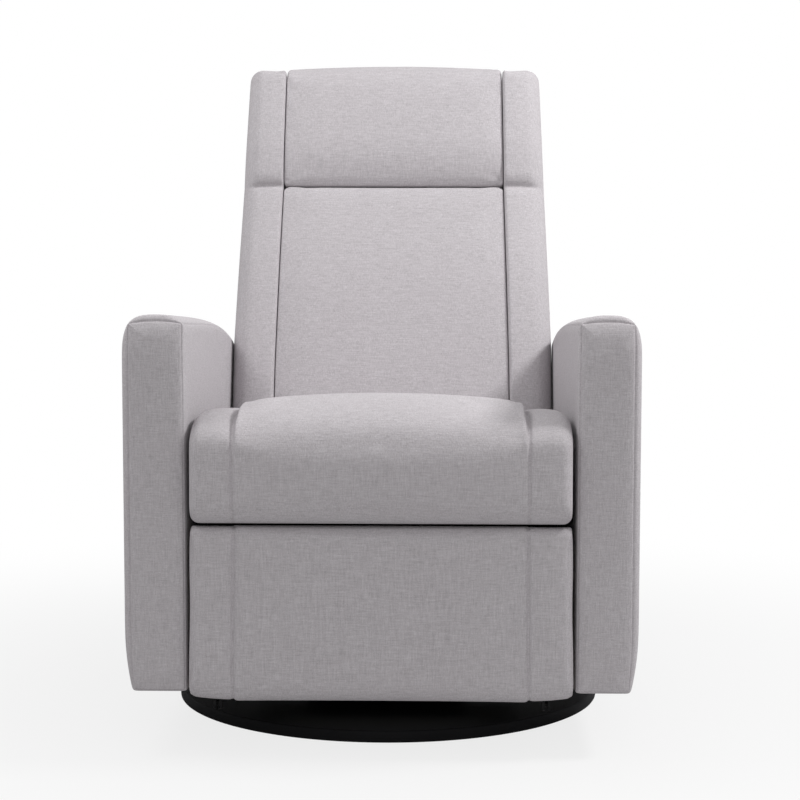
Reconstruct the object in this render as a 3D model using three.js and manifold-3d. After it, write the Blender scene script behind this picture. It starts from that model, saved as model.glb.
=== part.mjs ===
// Swivel glider recliner with a fold-out footrest, as an assembly of separate pieces.
// Millimetres, +Z up. The origin is on the floor under the swivel axis and the sitter faces -Y.
// Left and right are the sides seen by someone who stands in front of the chair: left is -X.
import * as THREE from 'three';
import { mergeVertices } from 'three/addons/utils/BufferGeometryUtils.js';
import Module from 'manifold-3d';

const wasm = await Module();
wasm.setup();

// Whole chair
const overallWidth = 750;
const contactGap = 0.3;
const pinClearance = 0.3;
const layerGap = 0.4;
const cutOverrun = 3;
const arcSteps = 8;

// Base and swivel
const baseRadius = 342;
const baseThickness = 18.5;
const baseEdgeRound = 3;
const floorRingHeight = 3;
const floorRingProud = 0.8;
const floorRingWidth = 24;
const floorRingInset = 12;
const swivelPlateSide = 250;
const swivelPlateThickness = 4;
const ballRingRadius = 92;
const ballRingWidth = 22;
const ballRingHeight = 8;
const studRadius = 12;

// Turntable and glide
const glideSpacing = 300;
const glideTopHeight = 228;
const glideLinkLength = 130;
const glideLinkWidth = 30;
const glideLinkThickness = 6;
const glidePinRadius = 6;
const postSection = 25;
const glideSetback = 65;
const postTopCover = 15;
const turntableBarHeight = 25;
const turntableBarDepth = 34;

// Carriage that hangs on the glide links
const carriageRailWidth = 20;
const carriageRailHeight = 25;
const carriageTubeSection = 25;
const carriageTubeWall = 2;
const carriageTubeSpacing = 430;
const carriageRailEndMargin = 5;
const sidePlateThickness = 4;
const trackArmClearance = 9;
const sidePlateTop = 312;
const sidePlateFrontMargin = 20;
const sidePlateBottomMargin = 17;
const sidePlateRearCover = 14;
const trackWidth = 18;
const trackFrontMargin = 3;
const trackRearY = 100;

// Arms
const armWidth = 94;
const armSeatClearance = 6;
const armFrontY = -418;
const armRearY = 305;
const armBottom = 94;
const armTop = 644;
const armTopDrop = 72;
const armEdgeRadius = 26;
const armBulge = 5;
const armCoreThickness = 20;
const armCorePadding = 24;
const armCoreTopPadding = 42;
const armCoreBottomMargin = 8;

// Release handle in the outer face of the left arm
const cupLength = 112;
const cupHeight = 62;
const cupDepth = 28;
const cupWall = 3;
const cupInset = 3.5;
const cupY = -190;
const cupZ = 430;
const paddleLengthShare = 0.62;
const paddleThickness = 4;
const paddleLipDepth = 7;
const paddleInset = 3;
const paddlePinRadius = 2.5;
const paddlePinLength = 3;
const paddleSideGap = 1.5;

// Footrest linkage, with f measured forwards from the swivel axis (f = -y)
const linkLength = 100;
const linkWidth = 20;
const linkThickness = 4;
const linkPinRadius = 4;
const drivePinRadius = 5;
const drivePivotF = 330;
const drivePivotZ = 99;
const driveAngleClosed = THREE.MathUtils.degToRad(84);
const driveAngleOpen = THREE.MathUtils.degToRad(54);
const crossAngleClosed = THREE.MathUtils.degToRad(-84);
const crossAngleOpen = THREE.MathUtils.degToRad(2);
const guideOffset = 34;
const tailLength = 60;
const slotClearance = 0.6;
const slotSteps = 10;
const driveTubeSection = 18;
const driveTubeWall = 2;
const bracketThickness = 4;
const bracketReach = 12;
const bracketFlangeWidth = 36;

// Footrest panel
const footrestArmClearance = 5;
const footrestBottom = 82;
const footrestTop = 338;
const footrestFrontF = 434;
const footrestBackF = 390;
const footrestBoardThickness = 12;
const footrestBoardInset = 8;
const footrestEdgeRadius = 14;
const footrestCrown = 5;
const footrestSidePanelWidth = 64;
const footrestSeamDip = 4;
const footrestEndRise = 7;

// Seat
const seatFrontY = -452;
const seatFrontTop = 517;
const seatRearTop = 472;
const seatBolsterWidth = 62;
const seatBolsterDrop = 17;
const seatSeamDip = 7;
const seatCrown = 9;
const seatEdgeRadius = 36;
const seatWaterfall = 34;
const seatFrontBulge = 6;
const seatDrawIn = 5;
const deckThickness = 6;
const deckRearY = 118;
const seatTravel = 30;
const seatTravelMargin = 8;
const seatRailWidth = 13;
const seatRailHeight = 28;
const seatTubeSection = 20;
const seatFrontTubeSetback = 22;
const seatRearTubeY = 105;

// Back, in its own leaned frame: w runs rearwards from the front face and v runs up the back
const backLean = THREE.MathUtils.degToRad(17.7);
const backFootY = 180;
const backFootZ = 474;
const backPadGap = 1.5;
const lowerPadBottomV = -60;
const lowerPadTopV = 386;
const headPadTopV = 620;
const padTaper = 9;
const padDepth = 58;
const padCrown = 12;
const padEdgeRadius = 20;
const headPadCrown = 24;
const headPadTopSet = 26;
const wingArmClearance = 3.5;
const wingWidth = 73;
const wingTaper = 17;
const wingBottomV = -38;
const wingTopV = 602;
const wingTaperStartV = 170;
const wingDepth = 90;
const wingFrontSet = 8;
const wingFrontSweep = 30;
const wingEdgeRadius = 24;
const wingTuckV = 384;
const wingTuckDepth = 8;
const wingTuckHeight = 26;
const outsideBackThickness = 12;
const outsideBackFootThickness = 26;
const outsideBackBottomV = -140;
const outsideBackTopV = 592;
const outsideBackInset = 8;
const outsideBackEdgeRadius = 5;
const reclineBracketGap = 2.2;
const backPostWidth = 26;
const backPostDepth = 25;
const backPostBottomV = -150;
const backPostTopV = 555;
const backRailHeight = 55;
const backLowerRailV = -40;
const reclinePivotY = 170;
const reclinePivotZ = 327;
const reclineBracketThickness = 3.8;
const reclineBracketRadius = 15;
const reclineBracketTopV = -40;
const reclinePinRadius = 6;

// Heights and places that follow from the sizes above
const halfWidth = overallWidth / 2;
const armInnerX = halfWidth - armWidth;
const seatHalfWidth = armInnerX - armSeatClearance;
const seatSeamX = seatHalfWidth - seatBolsterWidth;
const footrestHalfWidth = armInnerX - footrestArmClearance;
const footrestSeamX = footrestHalfWidth - footrestSidePanelWidth;
const wingOuterX = armInnerX - wingArmClearance;
const wingTopOuterX = wingOuterX - wingTaper;
const wingInnerX = wingOuterX - wingWidth;
const lowerPadHalfWidth = wingInnerX - backPadGap;
const headPadTopHalfWidth = lowerPadHalfWidth - padTaper;
const sidePlateOuterX = armInnerX - trackArmClearance - trackWidth;
const postOuterX = sidePlateOuterX - glideSetback;
const baseBottom = floorRingProud;
const baseTop = baseBottom + baseThickness;
const lowerPlateZ = baseTop + contactGap;
const ballRingZ = lowerPlateZ + swivelPlateThickness + contactGap;
const upperPlateZ = ballRingZ + ballRingHeight + contactGap;
const turntableBarZ = upperPlateZ + swivelPlateThickness + contactGap;
const postZ = turntableBarZ + turntableBarHeight + contactGap;
const glideBottomHeight = glideTopHeight - glideLinkLength;
const glideLinkInnerX = postOuterX + layerGap;
const glideLinkOuterX = glideLinkInnerX + glideLinkThickness;
const carriageRailInnerX = glideLinkOuterX + layerGap;
const carriageRailOuterX = carriageRailInnerX + carriageRailWidth;
const carriageRailBottom = glideBottomHeight - carriageRailHeight / 2;
const carriageTubeZ = carriageRailBottom + carriageRailHeight + contactGap;
const carriageTubeY = carriageTubeSpacing / 2;
const armCoreInnerX = halfWidth - armWidth / 2 - armCoreThickness / 2;
const armCoreOuterX = armCoreInnerX + armCoreThickness;
const sidePlateInnerX = sidePlateOuterX - sidePlateThickness;
const seatRailBottom = sidePlateTop + layerGap;
const seatRailTop = seatRailBottom + seatRailHeight;
const deckZ = seatRailTop + contactGap;
const seatBottom = deckZ + deckThickness + contactGap;

// Materials
function finish(color, roughness, metalness) {
  return new THREE.MeshStandardMaterial({ color, roughness, metalness });
}
const cloth = finish(0xb4b0ae, 0.95, 0);
const blackPaint = finish(0x161617, 0.45, 0.4);
const zincSteel = finish(0x9b9da0, 0.4, 0.9);
const blackSteel = finish(0x2a2b2d, 0.5, 0.8);
const plywood = finish(0xb98f5c, 0.8, 0);
const rubber = finish(0x1c1c1c, 0.9, 0);
const blackPlastic = finish(0x1d1d1f, 0.5, 0);
const webbing = finish(0x4a463f, 0.9, 0);

const chair = new THREE.Group();

function place(name, geometry, material, parent = chair) {
  const mesh = new THREE.Mesh(geometry, material);
  mesh.name = name;
  parent.add(mesh);
}

// Geometry tools

function closed(geometry) {
  const bare = geometry.clone();
  bare.deleteAttribute('normal');
  bare.deleteAttribute('uv');
  return mergeVertices(bare);
}

function toSolid(geometry) {
  const shell = closed(geometry);
  const vertProperties = new Float32Array(shell.attributes.position.array);
  const triVerts = new Uint32Array(shell.index.array);
  return new wasm.Manifold(new wasm.Mesh({ numProp: 3, vertProperties, triVerts }));
}

function fromSolid(solid) {
  const { vertProperties, triVerts } = solid.getMesh();
  const geometry = new THREE.BufferGeometry();
  geometry.setAttribute('position', new THREE.BufferAttribute(new Float32Array(vertProperties), 3));
  geometry.setIndex(new THREE.BufferAttribute(new Uint32Array(triVerts), 1));
  return geometry;
}

function joined(first, ...others) {
  return fromSolid(others.reduce((sum, other) => sum.add(toSolid(other)), toSolid(first)));
}

function cut(first, ...tools) {
  return fromSolid(tools.reduce((rest, tool) => rest.subtract(toSolid(tool)), toSolid(first)));
}

// The same piece on the other side of the chair
function mirrored(geometry) {
  const shell = closed(geometry);
  shell.scale(-1, 1, 1);
  const corners = shell.index.array;
  for (let i = 0; i < corners.length; i += 3) {
    [corners[i], corners[i + 1]] = [corners[i + 1], corners[i]];
  }
  return shell;
}

function placePair(name, geometry, material, parent = chair) {
  place(`${name}_left`, mirrored(geometry), material, parent);
  place(`${name}_right`, geometry, material, parent);
}

function block(x0, x1, y0, y1, z0, z1) {
  const geometry = new THREE.BoxGeometry(x1 - x0, y1 - y0, z1 - z0);
  geometry.translate((x0 + x1) / 2, (y0 + y1) / 2, (z0 + z1) / 2);
  return geometry;
}

// A pin along X, from x0 to x1
function pin(y, z, radius, x0, x1) {
  const geometry = new THREE.CylinderGeometry(radius, radius, x1 - x0, 2 * arcSteps);
  geometry.rotateZ(Math.PI / 2);
  geometry.translate((x0 + x1) / 2, y, z);
  return geometry;
}

function roundHole(y, z, radius) {
  return new THREE.Path().absarc(y, z, radius, 0, 2 * Math.PI, true);
}

// A flat outline in the YZ plane, made thick from x0 to x1
function sheet(outline, x0, x1, holes = []) {
  outline.holes.push(...holes);
  const options = { depth: x1 - x0, bevelEnabled: false, curveSegments: arcSteps };
  const geometry = new THREE.ExtrudeGeometry(outline, options);
  const across = new THREE.Vector3(1, 0, 0);
  const along = new THREE.Vector3(0, 1, 0);
  const up = new THREE.Vector3(0, 0, 1);
  geometry.applyMatrix4(new THREE.Matrix4().makeBasis(along, up, across));
  geometry.translate(x0, 0, 0);
  return geometry;
}

function rectangle(y0, y1, z0, z1) {
  const shape = new THREE.Shape();
  shape.moveTo(y0, z0).lineTo(y1, z0).lineTo(y1, z1).lineTo(y0, z1).closePath();
  return shape;
}

// A flat link with round ends between two pivots in the YZ plane
function linkOutline(from, to, width) {
  const heading = Math.atan2(to.y - from.y, to.x - from.x);
  const shape = new THREE.Shape();
  shape.absarc(from.x, from.y, width / 2, heading + Math.PI / 2, heading + 1.5 * Math.PI, false);
  shape.absarc(to.x, to.y, width / 2, heading - Math.PI / 2, heading + Math.PI / 2, false);
  shape.closePath();
  return shape;
}

// A square tube along X with open ends
function squareTube(y, z, section, wall, x0, x1) {
  const half = section / 2;
  const inner = half - wall;
  const bore = new THREE.Path();
  bore.moveTo(y - inner, z - inner).lineTo(y - inner, z + inner);
  bore.lineTo(y + inner, z + inner).lineTo(y + inner, z - inner).closePath();
  return sheet(rectangle(y - half, y + half, z - half, z + half), x0, x1, [bore]);
}

// Grid lines between two faces: close together round each edge, then at shares of the flat between
function stations(low, high, radius, flatShares) {
  const flatLow = low + radius;
  const flatHigh = high - radius;
  const arcStep = radius * Math.tan(Math.PI / 8);
  const flat = flatShares.map((share) => THREE.MathUtils.lerp(flatLow, flatHigh, share));
  return [low, flatLow - arcStep, flatLow, ...flat, flatHigh, flatHigh + arcStep, high];
}

function evenShares(count) {
  return Array.from({ length: count }, (_, i) => (i + 1) / (count + 1));
}

// A padded form: a block with rounded edges on a grid, whose points are then moved by shape
function paddedForm(xs, ys, zs, radius, shape) {
  const low = new THREE.Vector3(xs[0], ys[0], zs[0]).addScalar(radius);
  const high = new THREE.Vector3(xs.at(-1), ys.at(-1), zs.at(-1)).subScalar(radius);
  const positions = [];
  const triangles = [];
  const known = new Map();
  function corner(i, j, k) {
    const key = `${i} ${j} ${k}`;
    if (!known.has(key)) {
      const point = new THREE.Vector3(xs[i], ys[j], zs[k]);
      const core = point.clone().clamp(low, high);
      const moved = shape(point.sub(core).setLength(radius).add(core));
      known.set(key, positions.length / 3);
      positions.push(moved.x, moved.y, moved.z);
    }
    return known.get(key);
  }
  function face(a, b, c, d, outwards) {
    const [p, q, r, s] = outwards ? [a, b, c, d] : [a, d, c, b];
    triangles.push(p, q, r, p, r, s);
  }
  for (const [i, outwards] of [[0, false], [xs.length - 1, true]]) {
    for (let j = 0; j < ys.length - 1; j += 1) {
      for (let k = 0; k < zs.length - 1; k += 1) {
        face(corner(i, j, k), corner(i, j + 1, k), corner(i, j + 1, k + 1), corner(i, j, k + 1), outwards);
      }
    }
  }
  for (const [j, outwards] of [[0, false], [ys.length - 1, true]]) {
    for (let k = 0; k < zs.length - 1; k += 1) {
      for (let i = 0; i < xs.length - 1; i += 1) {
        face(corner(i, j, k), corner(i, j, k + 1), corner(i + 1, j, k + 1), corner(i + 1, j, k), outwards);
      }
    }
  }
  for (const [k, outwards] of [[0, false], [zs.length - 1, true]]) {
    for (let i = 0; i < xs.length - 1; i += 1) {
      for (let j = 0; j < ys.length - 1; j += 1) {
        face(corner(i, j, k), corner(i + 1, j, k), corner(i + 1, j + 1, k), corner(i, j + 1, k), outwards);
      }
    }
  }
  const geometry = new THREE.BufferGeometry();
  geometry.setAttribute('position', new THREE.Float32BufferAttribute(positions, 3));
  geometry.setIndex(triangles);
  return geometry;
}

// 1 at a seam, falling to 0 at the given distance from it
function seamPull(distance, reach) {
  const near = Math.max(0, 1 - Math.abs(distance) / reach);
  return near * near;
}

// 1 in the middle of a span and 0 at both its ends
function crownAt(value, low, high) {
  const share = THREE.MathUtils.clamp((value - low) / (high - low), 0, 1);
  return 4 * share * (1 - share);
}

// Base: a rubber ring, the round steel base, and the fixed half of the swivel
const ringOuter = baseRadius - floorRingInset;
const ringSection = [
  new THREE.Vector2(ringOuter - floorRingWidth, 0),
  new THREE.Vector2(ringOuter, 0),
  new THREE.Vector2(ringOuter, floorRingHeight),
  new THREE.Vector2(ringOuter - floorRingWidth, floorRingHeight),
  new THREE.Vector2(ringOuter - floorRingWidth, 0),
];
const discSteps = 6 * arcSteps;

function turned(section, steps = discSteps) {
  const geometry = new THREE.LatheGeometry(section, steps);
  geometry.rotateX(Math.PI / 2);
  return geometry;
}

place('floor_ring', turned(ringSection), rubber);
const discSection = [
  new THREE.Vector2(0, baseBottom),
  new THREE.Vector2(ringOuter - floorRingWidth - contactGap, baseBottom),
  new THREE.Vector2(ringOuter - floorRingWidth - contactGap, floorRingHeight + contactGap),
  new THREE.Vector2(ringOuter + contactGap, floorRingHeight + contactGap),
  new THREE.Vector2(ringOuter + contactGap, baseBottom),
  new THREE.Vector2(baseRadius - baseEdgeRound, baseBottom),
  new THREE.Vector2(baseRadius, baseBottom + baseEdgeRound),
  new THREE.Vector2(baseRadius, baseTop - baseEdgeRound),
  new THREE.Vector2(baseRadius - baseEdgeRound, baseTop),
  new THREE.Vector2(0, baseTop),
];
place('base_disc', turned(discSection), blackPaint);

const plateHalf = swivelPlateSide / 2;
const lowerPlate = block(-plateHalf, plateHalf, -plateHalf, plateHalf, lowerPlateZ,
  lowerPlateZ + swivelPlateThickness);
const stud = new THREE.CylinderGeometry(studRadius, studRadius,
  turntableBarZ - lowerPlateZ, 2 * arcSteps);
stud.rotateX(Math.PI / 2);
stud.translate(0, 0, (lowerPlateZ + turntableBarZ) / 2);
place('swivel_lower_plate', joined(lowerPlate, stud), zincSteel);

const ballRingSection = [
  new THREE.Vector2(ballRingRadius - ballRingWidth, ballRingZ),
  new THREE.Vector2(ballRingRadius, ballRingZ),
  new THREE.Vector2(ballRingRadius, ballRingZ + ballRingHeight),
  new THREE.Vector2(ballRingRadius - ballRingWidth, ballRingZ + ballRingHeight),
  new THREE.Vector2(ballRingRadius - ballRingWidth, ballRingZ),
];
place('ball_ring', turned(ballRingSection, 4 * arcSteps), zincSteel);

// Turntable: the turning half of the swivel, two cross bars and four posts
const studBore = new THREE.CylinderGeometry(studRadius + pinClearance, studRadius + pinClearance,
  swivelPlateThickness + 2 * cutOverrun, 2 * arcSteps);
studBore.rotateX(Math.PI / 2);
studBore.translate(0, 0, upperPlateZ + swivelPlateThickness / 2);
const upperPlateHalfY = glideSpacing / 2 + turntableBarDepth / 2;
const upperPlate = block(-plateHalf, plateHalf, -upperPlateHalfY, upperPlateHalfY, upperPlateZ,
  upperPlateZ + swivelPlateThickness);
place('swivel_upper_plate', cut(upperPlate, studBore), blackSteel);

const postTop = glideTopHeight + postTopCover;
const postInnerX = postOuterX - postSection;
for (const [end, y] of [['front', -glideSpacing / 2], ['rear', glideSpacing / 2]]) {
  const bar = block(-postOuterX, postOuterX, y - turntableBarDepth / 2, y + turntableBarDepth / 2,
    turntableBarZ, turntableBarZ + turntableBarHeight);
  place(`turntable_bar_${end}`, bar, blackSteel);
  const postOutline = rectangle(y - postSection / 2, y + postSection / 2, postZ, postTop);
  const postBore = roundHole(y, glideTopHeight, glidePinRadius + pinClearance);
  placePair(`glide_post_${end}`, sheet(postOutline, postInnerX, postOuterX, [postBore]), blackSteel);
  const top = new THREE.Vector2(y, glideTopHeight);
  const bottom = new THREE.Vector2(y, glideBottomHeight);
  const swingLink = joined(
    sheet(linkOutline(top, bottom, glideLinkWidth), glideLinkInnerX, glideLinkOuterX),
    pin(top.x, top.y, glidePinRadius, postInnerX, glideLinkOuterX),
    pin(bottom.x, bottom.y, glidePinRadius, glideLinkInnerX, carriageRailOuterX),
  );
  placePair(`glide_link_${end}`, swingLink, zincSteel);
}

// Carriage: two rails on the glide links, two cross tubes and the side plates of the mechanism
const railReach = carriageTubeY + carriageTubeSection / 2 + carriageRailEndMargin;
const railOutline = rectangle(-railReach, railReach, carriageRailBottom,
  carriageRailBottom + carriageRailHeight);
const railBores = [-1, 1].map((end) => (
  roundHole(end * glideSpacing / 2, glideBottomHeight, glidePinRadius + pinClearance)));
placePair('carriage_rail', sheet(railOutline, carriageRailInnerX, carriageRailOuterX, railBores), blackSteel);

const tubeCentreZ = carriageTubeZ + carriageTubeSection / 2;
const tubeEndX = armCoreInnerX - contactGap;
for (const [end, y] of [['front', -carriageTubeY], ['rear', carriageTubeY]]) {
  const tube = squareTube(y, tubeCentreZ, carriageTubeSection, carriageTubeWall, -tubeEndX, tubeEndX);
  place(`carriage_tube_${end}`, tube, blackSteel);
}

// Pivots of the footrest linkage when it is opened by a share from 0 to 1
function polar(length, angle) {
  return new THREE.Vector2(-length * Math.cos(angle), length * Math.sin(angle));
}

function footrestPivots(opened) {
  const driveAngle = THREE.MathUtils.lerp(driveAngleClosed, driveAngleOpen, opened);
  const crossAngle = THREE.MathUtils.lerp(crossAngleClosed, crossAngleOpen, opened);
  const drive = new THREE.Vector2(-drivePivotF, drivePivotZ);
  const middle = drive.clone().add(polar(linkLength, driveAngle));
  const tail = middle.clone().sub(polar(tailLength, crossAngle));
  const lift = middle.clone().add(polar(linkLength, crossAngle));
  const guide = lift.clone().add(polar(guideOffset, crossAngle));
  const panel = lift.clone().add(polar(2 * linkLength, driveAngle));
  const panelGuide = panel.clone().add(polar(guideOffset, crossAngle));
  return { drive, middle, tail, lift, guide, panel, panelGuide };
}
const closedPivots = footrestPivots(0);

// The curved slot that the tail pin of the cross link runs in
function slotOutline() {
  const halfSlot = linkPinRadius + slotClearance;
  const path = Array.from({ length: slotSteps + 1 }, (_, i) => footrestPivots(i / slotSteps).tail);
  const headings = path.map((_, i) => {
    const before = path[Math.max(0, i - 1)];
    const after = path[Math.min(slotSteps, i + 1)];
    return Math.atan2(after.y - before.y, after.x - before.x);
  });
  const outline = new THREE.Shape();
  const start = headings[0];
  outline.absarc(path[0].x, path[0].y, halfSlot, start - Math.PI / 2, start - 1.5 * Math.PI, true);
  for (let i = 1; i < slotSteps; i += 1) {
    const side = headings[i] + Math.PI / 2;
    outline.lineTo(path[i].x + halfSlot * Math.cos(side), path[i].y + halfSlot * Math.sin(side));
  }
  const finishHeading = headings[slotSteps];
  outline.absarc(path[slotSteps].x, path[slotSteps].y, halfSlot, finishHeading + Math.PI / 2,
    finishHeading - Math.PI / 2, true);
  for (let i = slotSteps - 1; i > 0; i -= 1) {
    const side = headings[i] - Math.PI / 2;
    outline.lineTo(path[i].x + halfSlot * Math.cos(side), path[i].y + halfSlot * Math.sin(side));
  }
  outline.closePath();
  return outline;
}

const sidePlateFrontY = -drivePivotF - sidePlateFrontMargin;
const sidePlateRearY = carriageTubeY + carriageTubeSection / 2 + sidePlateRearCover;
const sidePlateOutline = new THREE.Shape();
sidePlateOutline.moveTo(sidePlateFrontY, drivePivotZ - sidePlateBottomMargin);
sidePlateOutline.lineTo(sidePlateRearY, carriageTubeZ - sidePlateRearCover);
sidePlateOutline.lineTo(sidePlateRearY, carriageTubeZ + carriageTubeSection + sidePlateRearCover);
sidePlateOutline.lineTo(trackRearY, sidePlateTop);
sidePlateOutline.lineTo(sidePlateFrontY, sidePlateTop);
sidePlateOutline.closePath();
function tubeSpace(y, x0, x1) {
  const reach = carriageTubeSection / 2 + contactGap;
  return block(x0, x1, y - reach, y + reach, tubeCentreZ - reach, tubeCentreZ + reach);
}
const crossLinkOuterX = sidePlateInnerX - layerGap;
const crossLinkInnerX = crossLinkOuterX - linkThickness;
const driveLinkOuterX = crossLinkInnerX - layerGap;
const driveLinkInnerX = driveLinkOuterX - linkThickness;
const guideLinkOuterX = driveLinkInnerX - layerGap;
const guideLinkInnerX = guideLinkOuterX - linkThickness;
const bracketOuterX = guideLinkInnerX - layerGap;
const bracketInnerX = bracketOuterX - bracketThickness;
const plateCutInnerX = sidePlateInnerX - cutOverrun;
const plateCutOuterX = sidePlateOuterX + cutOverrun;
const sidePlate = cut(
  sheet(sidePlateOutline, sidePlateInnerX, sidePlateOuterX),
  sheet(slotOutline(), plateCutInnerX, plateCutOuterX),
  tubeSpace(-carriageTubeY, plateCutInnerX, plateCutOuterX),
  tubeSpace(carriageTubeY, plateCutInnerX, plateCutOuterX),
);
const seatTrack = block(sidePlateInnerX, sidePlateOuterX + trackWidth, sidePlateFrontY + trackFrontMargin,
  trackRearY, sidePlateTop - sidePlateThickness, sidePlateTop);
const { drive } = closedPivots;
const drivePin = pin(drive.x, drive.y, drivePinRadius, driveLinkInnerX, sidePlateOuterX);
placePair('side_plate', joined(sidePlate, seatTrack, drivePin), zincSteel);

// Arms: a plywood core on the cross tubes, under a padded cover that is open at the bottom
const armLength = armRearY - armFrontY;
function armTopAt(y) {
  const share = THREE.MathUtils.clamp((y - armFrontY) / armLength, 0, 1);
  return armTop - armTopDrop * share * share;
}
const coreFrontY = armFrontY + armCorePadding;
const coreRearY = armRearY - armCorePadding;
const coreBottom = armBottom + armCoreBottomMargin;
const coreRearTopShare = 0.86;
function coreOutline(grow) {
  const shape = new THREE.Shape();
  shape.moveTo(coreFrontY - grow, coreBottom - grow);
  shape.lineTo(coreRearY + grow, coreBottom - grow);
  const shoulder = armFrontY + coreRearTopShare * armLength;
  const rearTop = THREE.MathUtils.lerp(coreBottom, armTopAt(coreRearY), coreRearTopShare);
  shape.lineTo(coreRearY + grow, rearTop + grow);
  shape.lineTo(shoulder, armTopAt(shoulder) - armCoreTopPadding + grow);
  const crest = (coreFrontY + shoulder) / 2;
  shape.lineTo(crest, armTopAt(crest) - armCoreTopPadding + grow);
  shape.lineTo(coreFrontY - grow, armTopAt(coreFrontY) - armCoreTopPadding + grow);
  shape.closePath();
  return shape;
}
placePair('arm_core', sheet(coreOutline(0), armCoreInnerX, armCoreOuterX), plywood);

const armWidthShares = [0.5];
const armLengthShares = evenShares(6);
const armHeightShares = evenShares(5);
const armPad = paddedForm(
  stations(armInnerX, halfWidth, armEdgeRadius, armWidthShares),
  stations(armFrontY, armRearY, armEdgeRadius, armLengthShares),
  stations(armBottom, armTop, armEdgeRadius, armHeightShares),
  armEdgeRadius,
  (point) => {
    const heightShare = (point.z - armBottom) / (armTop - armBottom);
    const middleX = (armInnerX + halfWidth) / 2;
    const sideShare = (point.x - middleX) / (armWidth / 2);
    const bulge = crownAt(point.z, armBottom, armTop) * crownAt(point.y, armFrontY, armRearY);
    const width = armWidth / 2 - armBulge * (1 - bulge);
    const rearTuck = Math.max(0, (point.y - armFrontY) / armLength - coreRearTopShare);
    const shoulderDrop = armEdgeRadius * rearTuck * rearTuck * heightShare / (1 - coreRearTopShare) ** 2;
    const z = armBottom + heightShare * (armTopAt(point.y) - armBottom) - shoulderDrop;
    return new THREE.Vector3(middleX + sideShare * width, point.y, z);
  },
);
const coreSpace = sheet(coreOutline(contactGap), armCoreInnerX - contactGap, armCoreOuterX + contactGap);
const coreMouth = block(armCoreInnerX - contactGap, armCoreOuterX + contactGap, coreFrontY - contactGap,
  coreRearY + contactGap, armBottom - cutOverrun, coreBottom + cutOverrun);
const tubeSpaces = [-carriageTubeY, carriageTubeY].map((y) => (
  tubeSpace(y, armInnerX - cutOverrun, armCoreInnerX + cutOverrun)));
const rightArm = cut(armPad, coreSpace, coreMouth, ...tubeSpaces);
place('arm_pad_right', rightArm, cloth);

// Release handle: a cup let into the outer face of the left arm, and a paddle hinged inside it
const cupMouthX = -halfWidth + cupInset;
const cupFloorX = cupMouthX + cupDepth;
const cupFrontY = cupY - cupLength / 2;
const cupRearY = cupY + cupLength / 2;
const cupLowZ = cupZ - cupHeight / 2;
const cupHighZ = cupZ + cupHeight / 2;
const cupSpace = block(cupMouthX - cupInset - cutOverrun, cupFloorX + contactGap, cupFrontY - contactGap,
  cupRearY + contactGap, cupLowZ - contactGap, cupHighZ + contactGap);
place('arm_pad_left', cut(mirrored(rightArm), cupSpace), cloth);

const paddlePinX = cupMouthX + paddleInset + paddleThickness / 2;
const paddlePinY = cupFrontY + cupWall + paddleThickness;
function uprightPin(radius, z0, z1) {
  const geometry = new THREE.CylinderGeometry(radius, radius, z1 - z0, arcSteps);
  geometry.rotateX(Math.PI / 2);
  geometry.translate(paddlePinX, paddlePinY, (z0 + z1) / 2);
  return geometry;
}
const cupBody = block(cupMouthX, cupFloorX, cupFrontY, cupRearY, cupLowZ, cupHighZ);
const cupHollow = block(cupMouthX - cutOverrun, cupFloorX - cupWall, cupFrontY + cupWall,
  cupRearY - cupWall, cupLowZ + cupWall, cupHighZ - cupWall);
const paddlePinLowZ = cupLowZ + cupWall + paddleSideGap - paddlePinLength;
const paddlePinHighZ = cupHighZ - cupWall - paddleSideGap + paddlePinLength;
const cupPinBore = uprightPin(paddlePinRadius + pinClearance, paddlePinLowZ - pinClearance,
  paddlePinHighZ + pinClearance);
place('release_cup', cut(cupBody, cupHollow, cupPinBore), blackPlastic);

const paddleLength = paddleLengthShare * cupLength;
const paddleLowZ = cupLowZ + cupWall + paddleSideGap;
const paddleHighZ = cupHighZ - cupWall - paddleSideGap;
const paddleOuterX = cupMouthX + paddleInset;
const paddlePlate = block(paddleOuterX, paddleOuterX + paddleThickness, paddlePinY - paddleThickness / 2,
  paddlePinY + paddleLength, paddleLowZ, paddleHighZ);
const paddleLip = block(paddleOuterX, paddleOuterX + paddleThickness + paddleLipDepth,
  paddlePinY + paddleLength - paddleThickness, paddlePinY + paddleLength, paddleLowZ, paddleHighZ);
const paddlePin = uprightPin(paddlePinRadius, paddlePinLowZ, paddlePinHighZ);
place('release_paddle', joined(paddlePlate, paddleLip, paddlePin), blackPlastic);

// Footrest linkage: drive links and their tube, cross links, lift links and guide links
const { middle, tail, lift, guide, panel, panelGuide } = closedPivots;
const linkBore = linkPinRadius + pinClearance;
const driveLink = sheet(linkOutline(drive, middle, linkWidth), driveLinkInnerX, driveLinkOuterX,
  [roundHole(drive.x, drive.y, drivePinRadius + pinClearance)]);
const middlePin = pin(middle.x, middle.y, linkPinRadius, driveLinkInnerX, crossLinkOuterX);
placePair('drive_link', joined(driveLink, middlePin), blackSteel);

const driveTubeEnd = driveLinkInnerX - contactGap;
place('drive_tube', squareTube(drive.x, drive.y, driveTubeSection, driveTubeWall, -driveTubeEnd, driveTubeEnd),
  blackSteel);

const crossLink = joined(
  sheet(linkOutline(tail, guide, linkWidth), crossLinkInnerX, crossLinkOuterX,
    [roundHole(middle.x, middle.y, linkBore)]),
  pin(tail.x, tail.y, linkPinRadius, crossLinkInnerX, sidePlateOuterX),
  pin(lift.x, lift.y, linkPinRadius, driveLinkInnerX, crossLinkOuterX),
  pin(guide.x, guide.y, linkPinRadius, guideLinkInnerX, crossLinkOuterX),
);
placePair('cross_link', crossLink, blackSteel);

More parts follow.
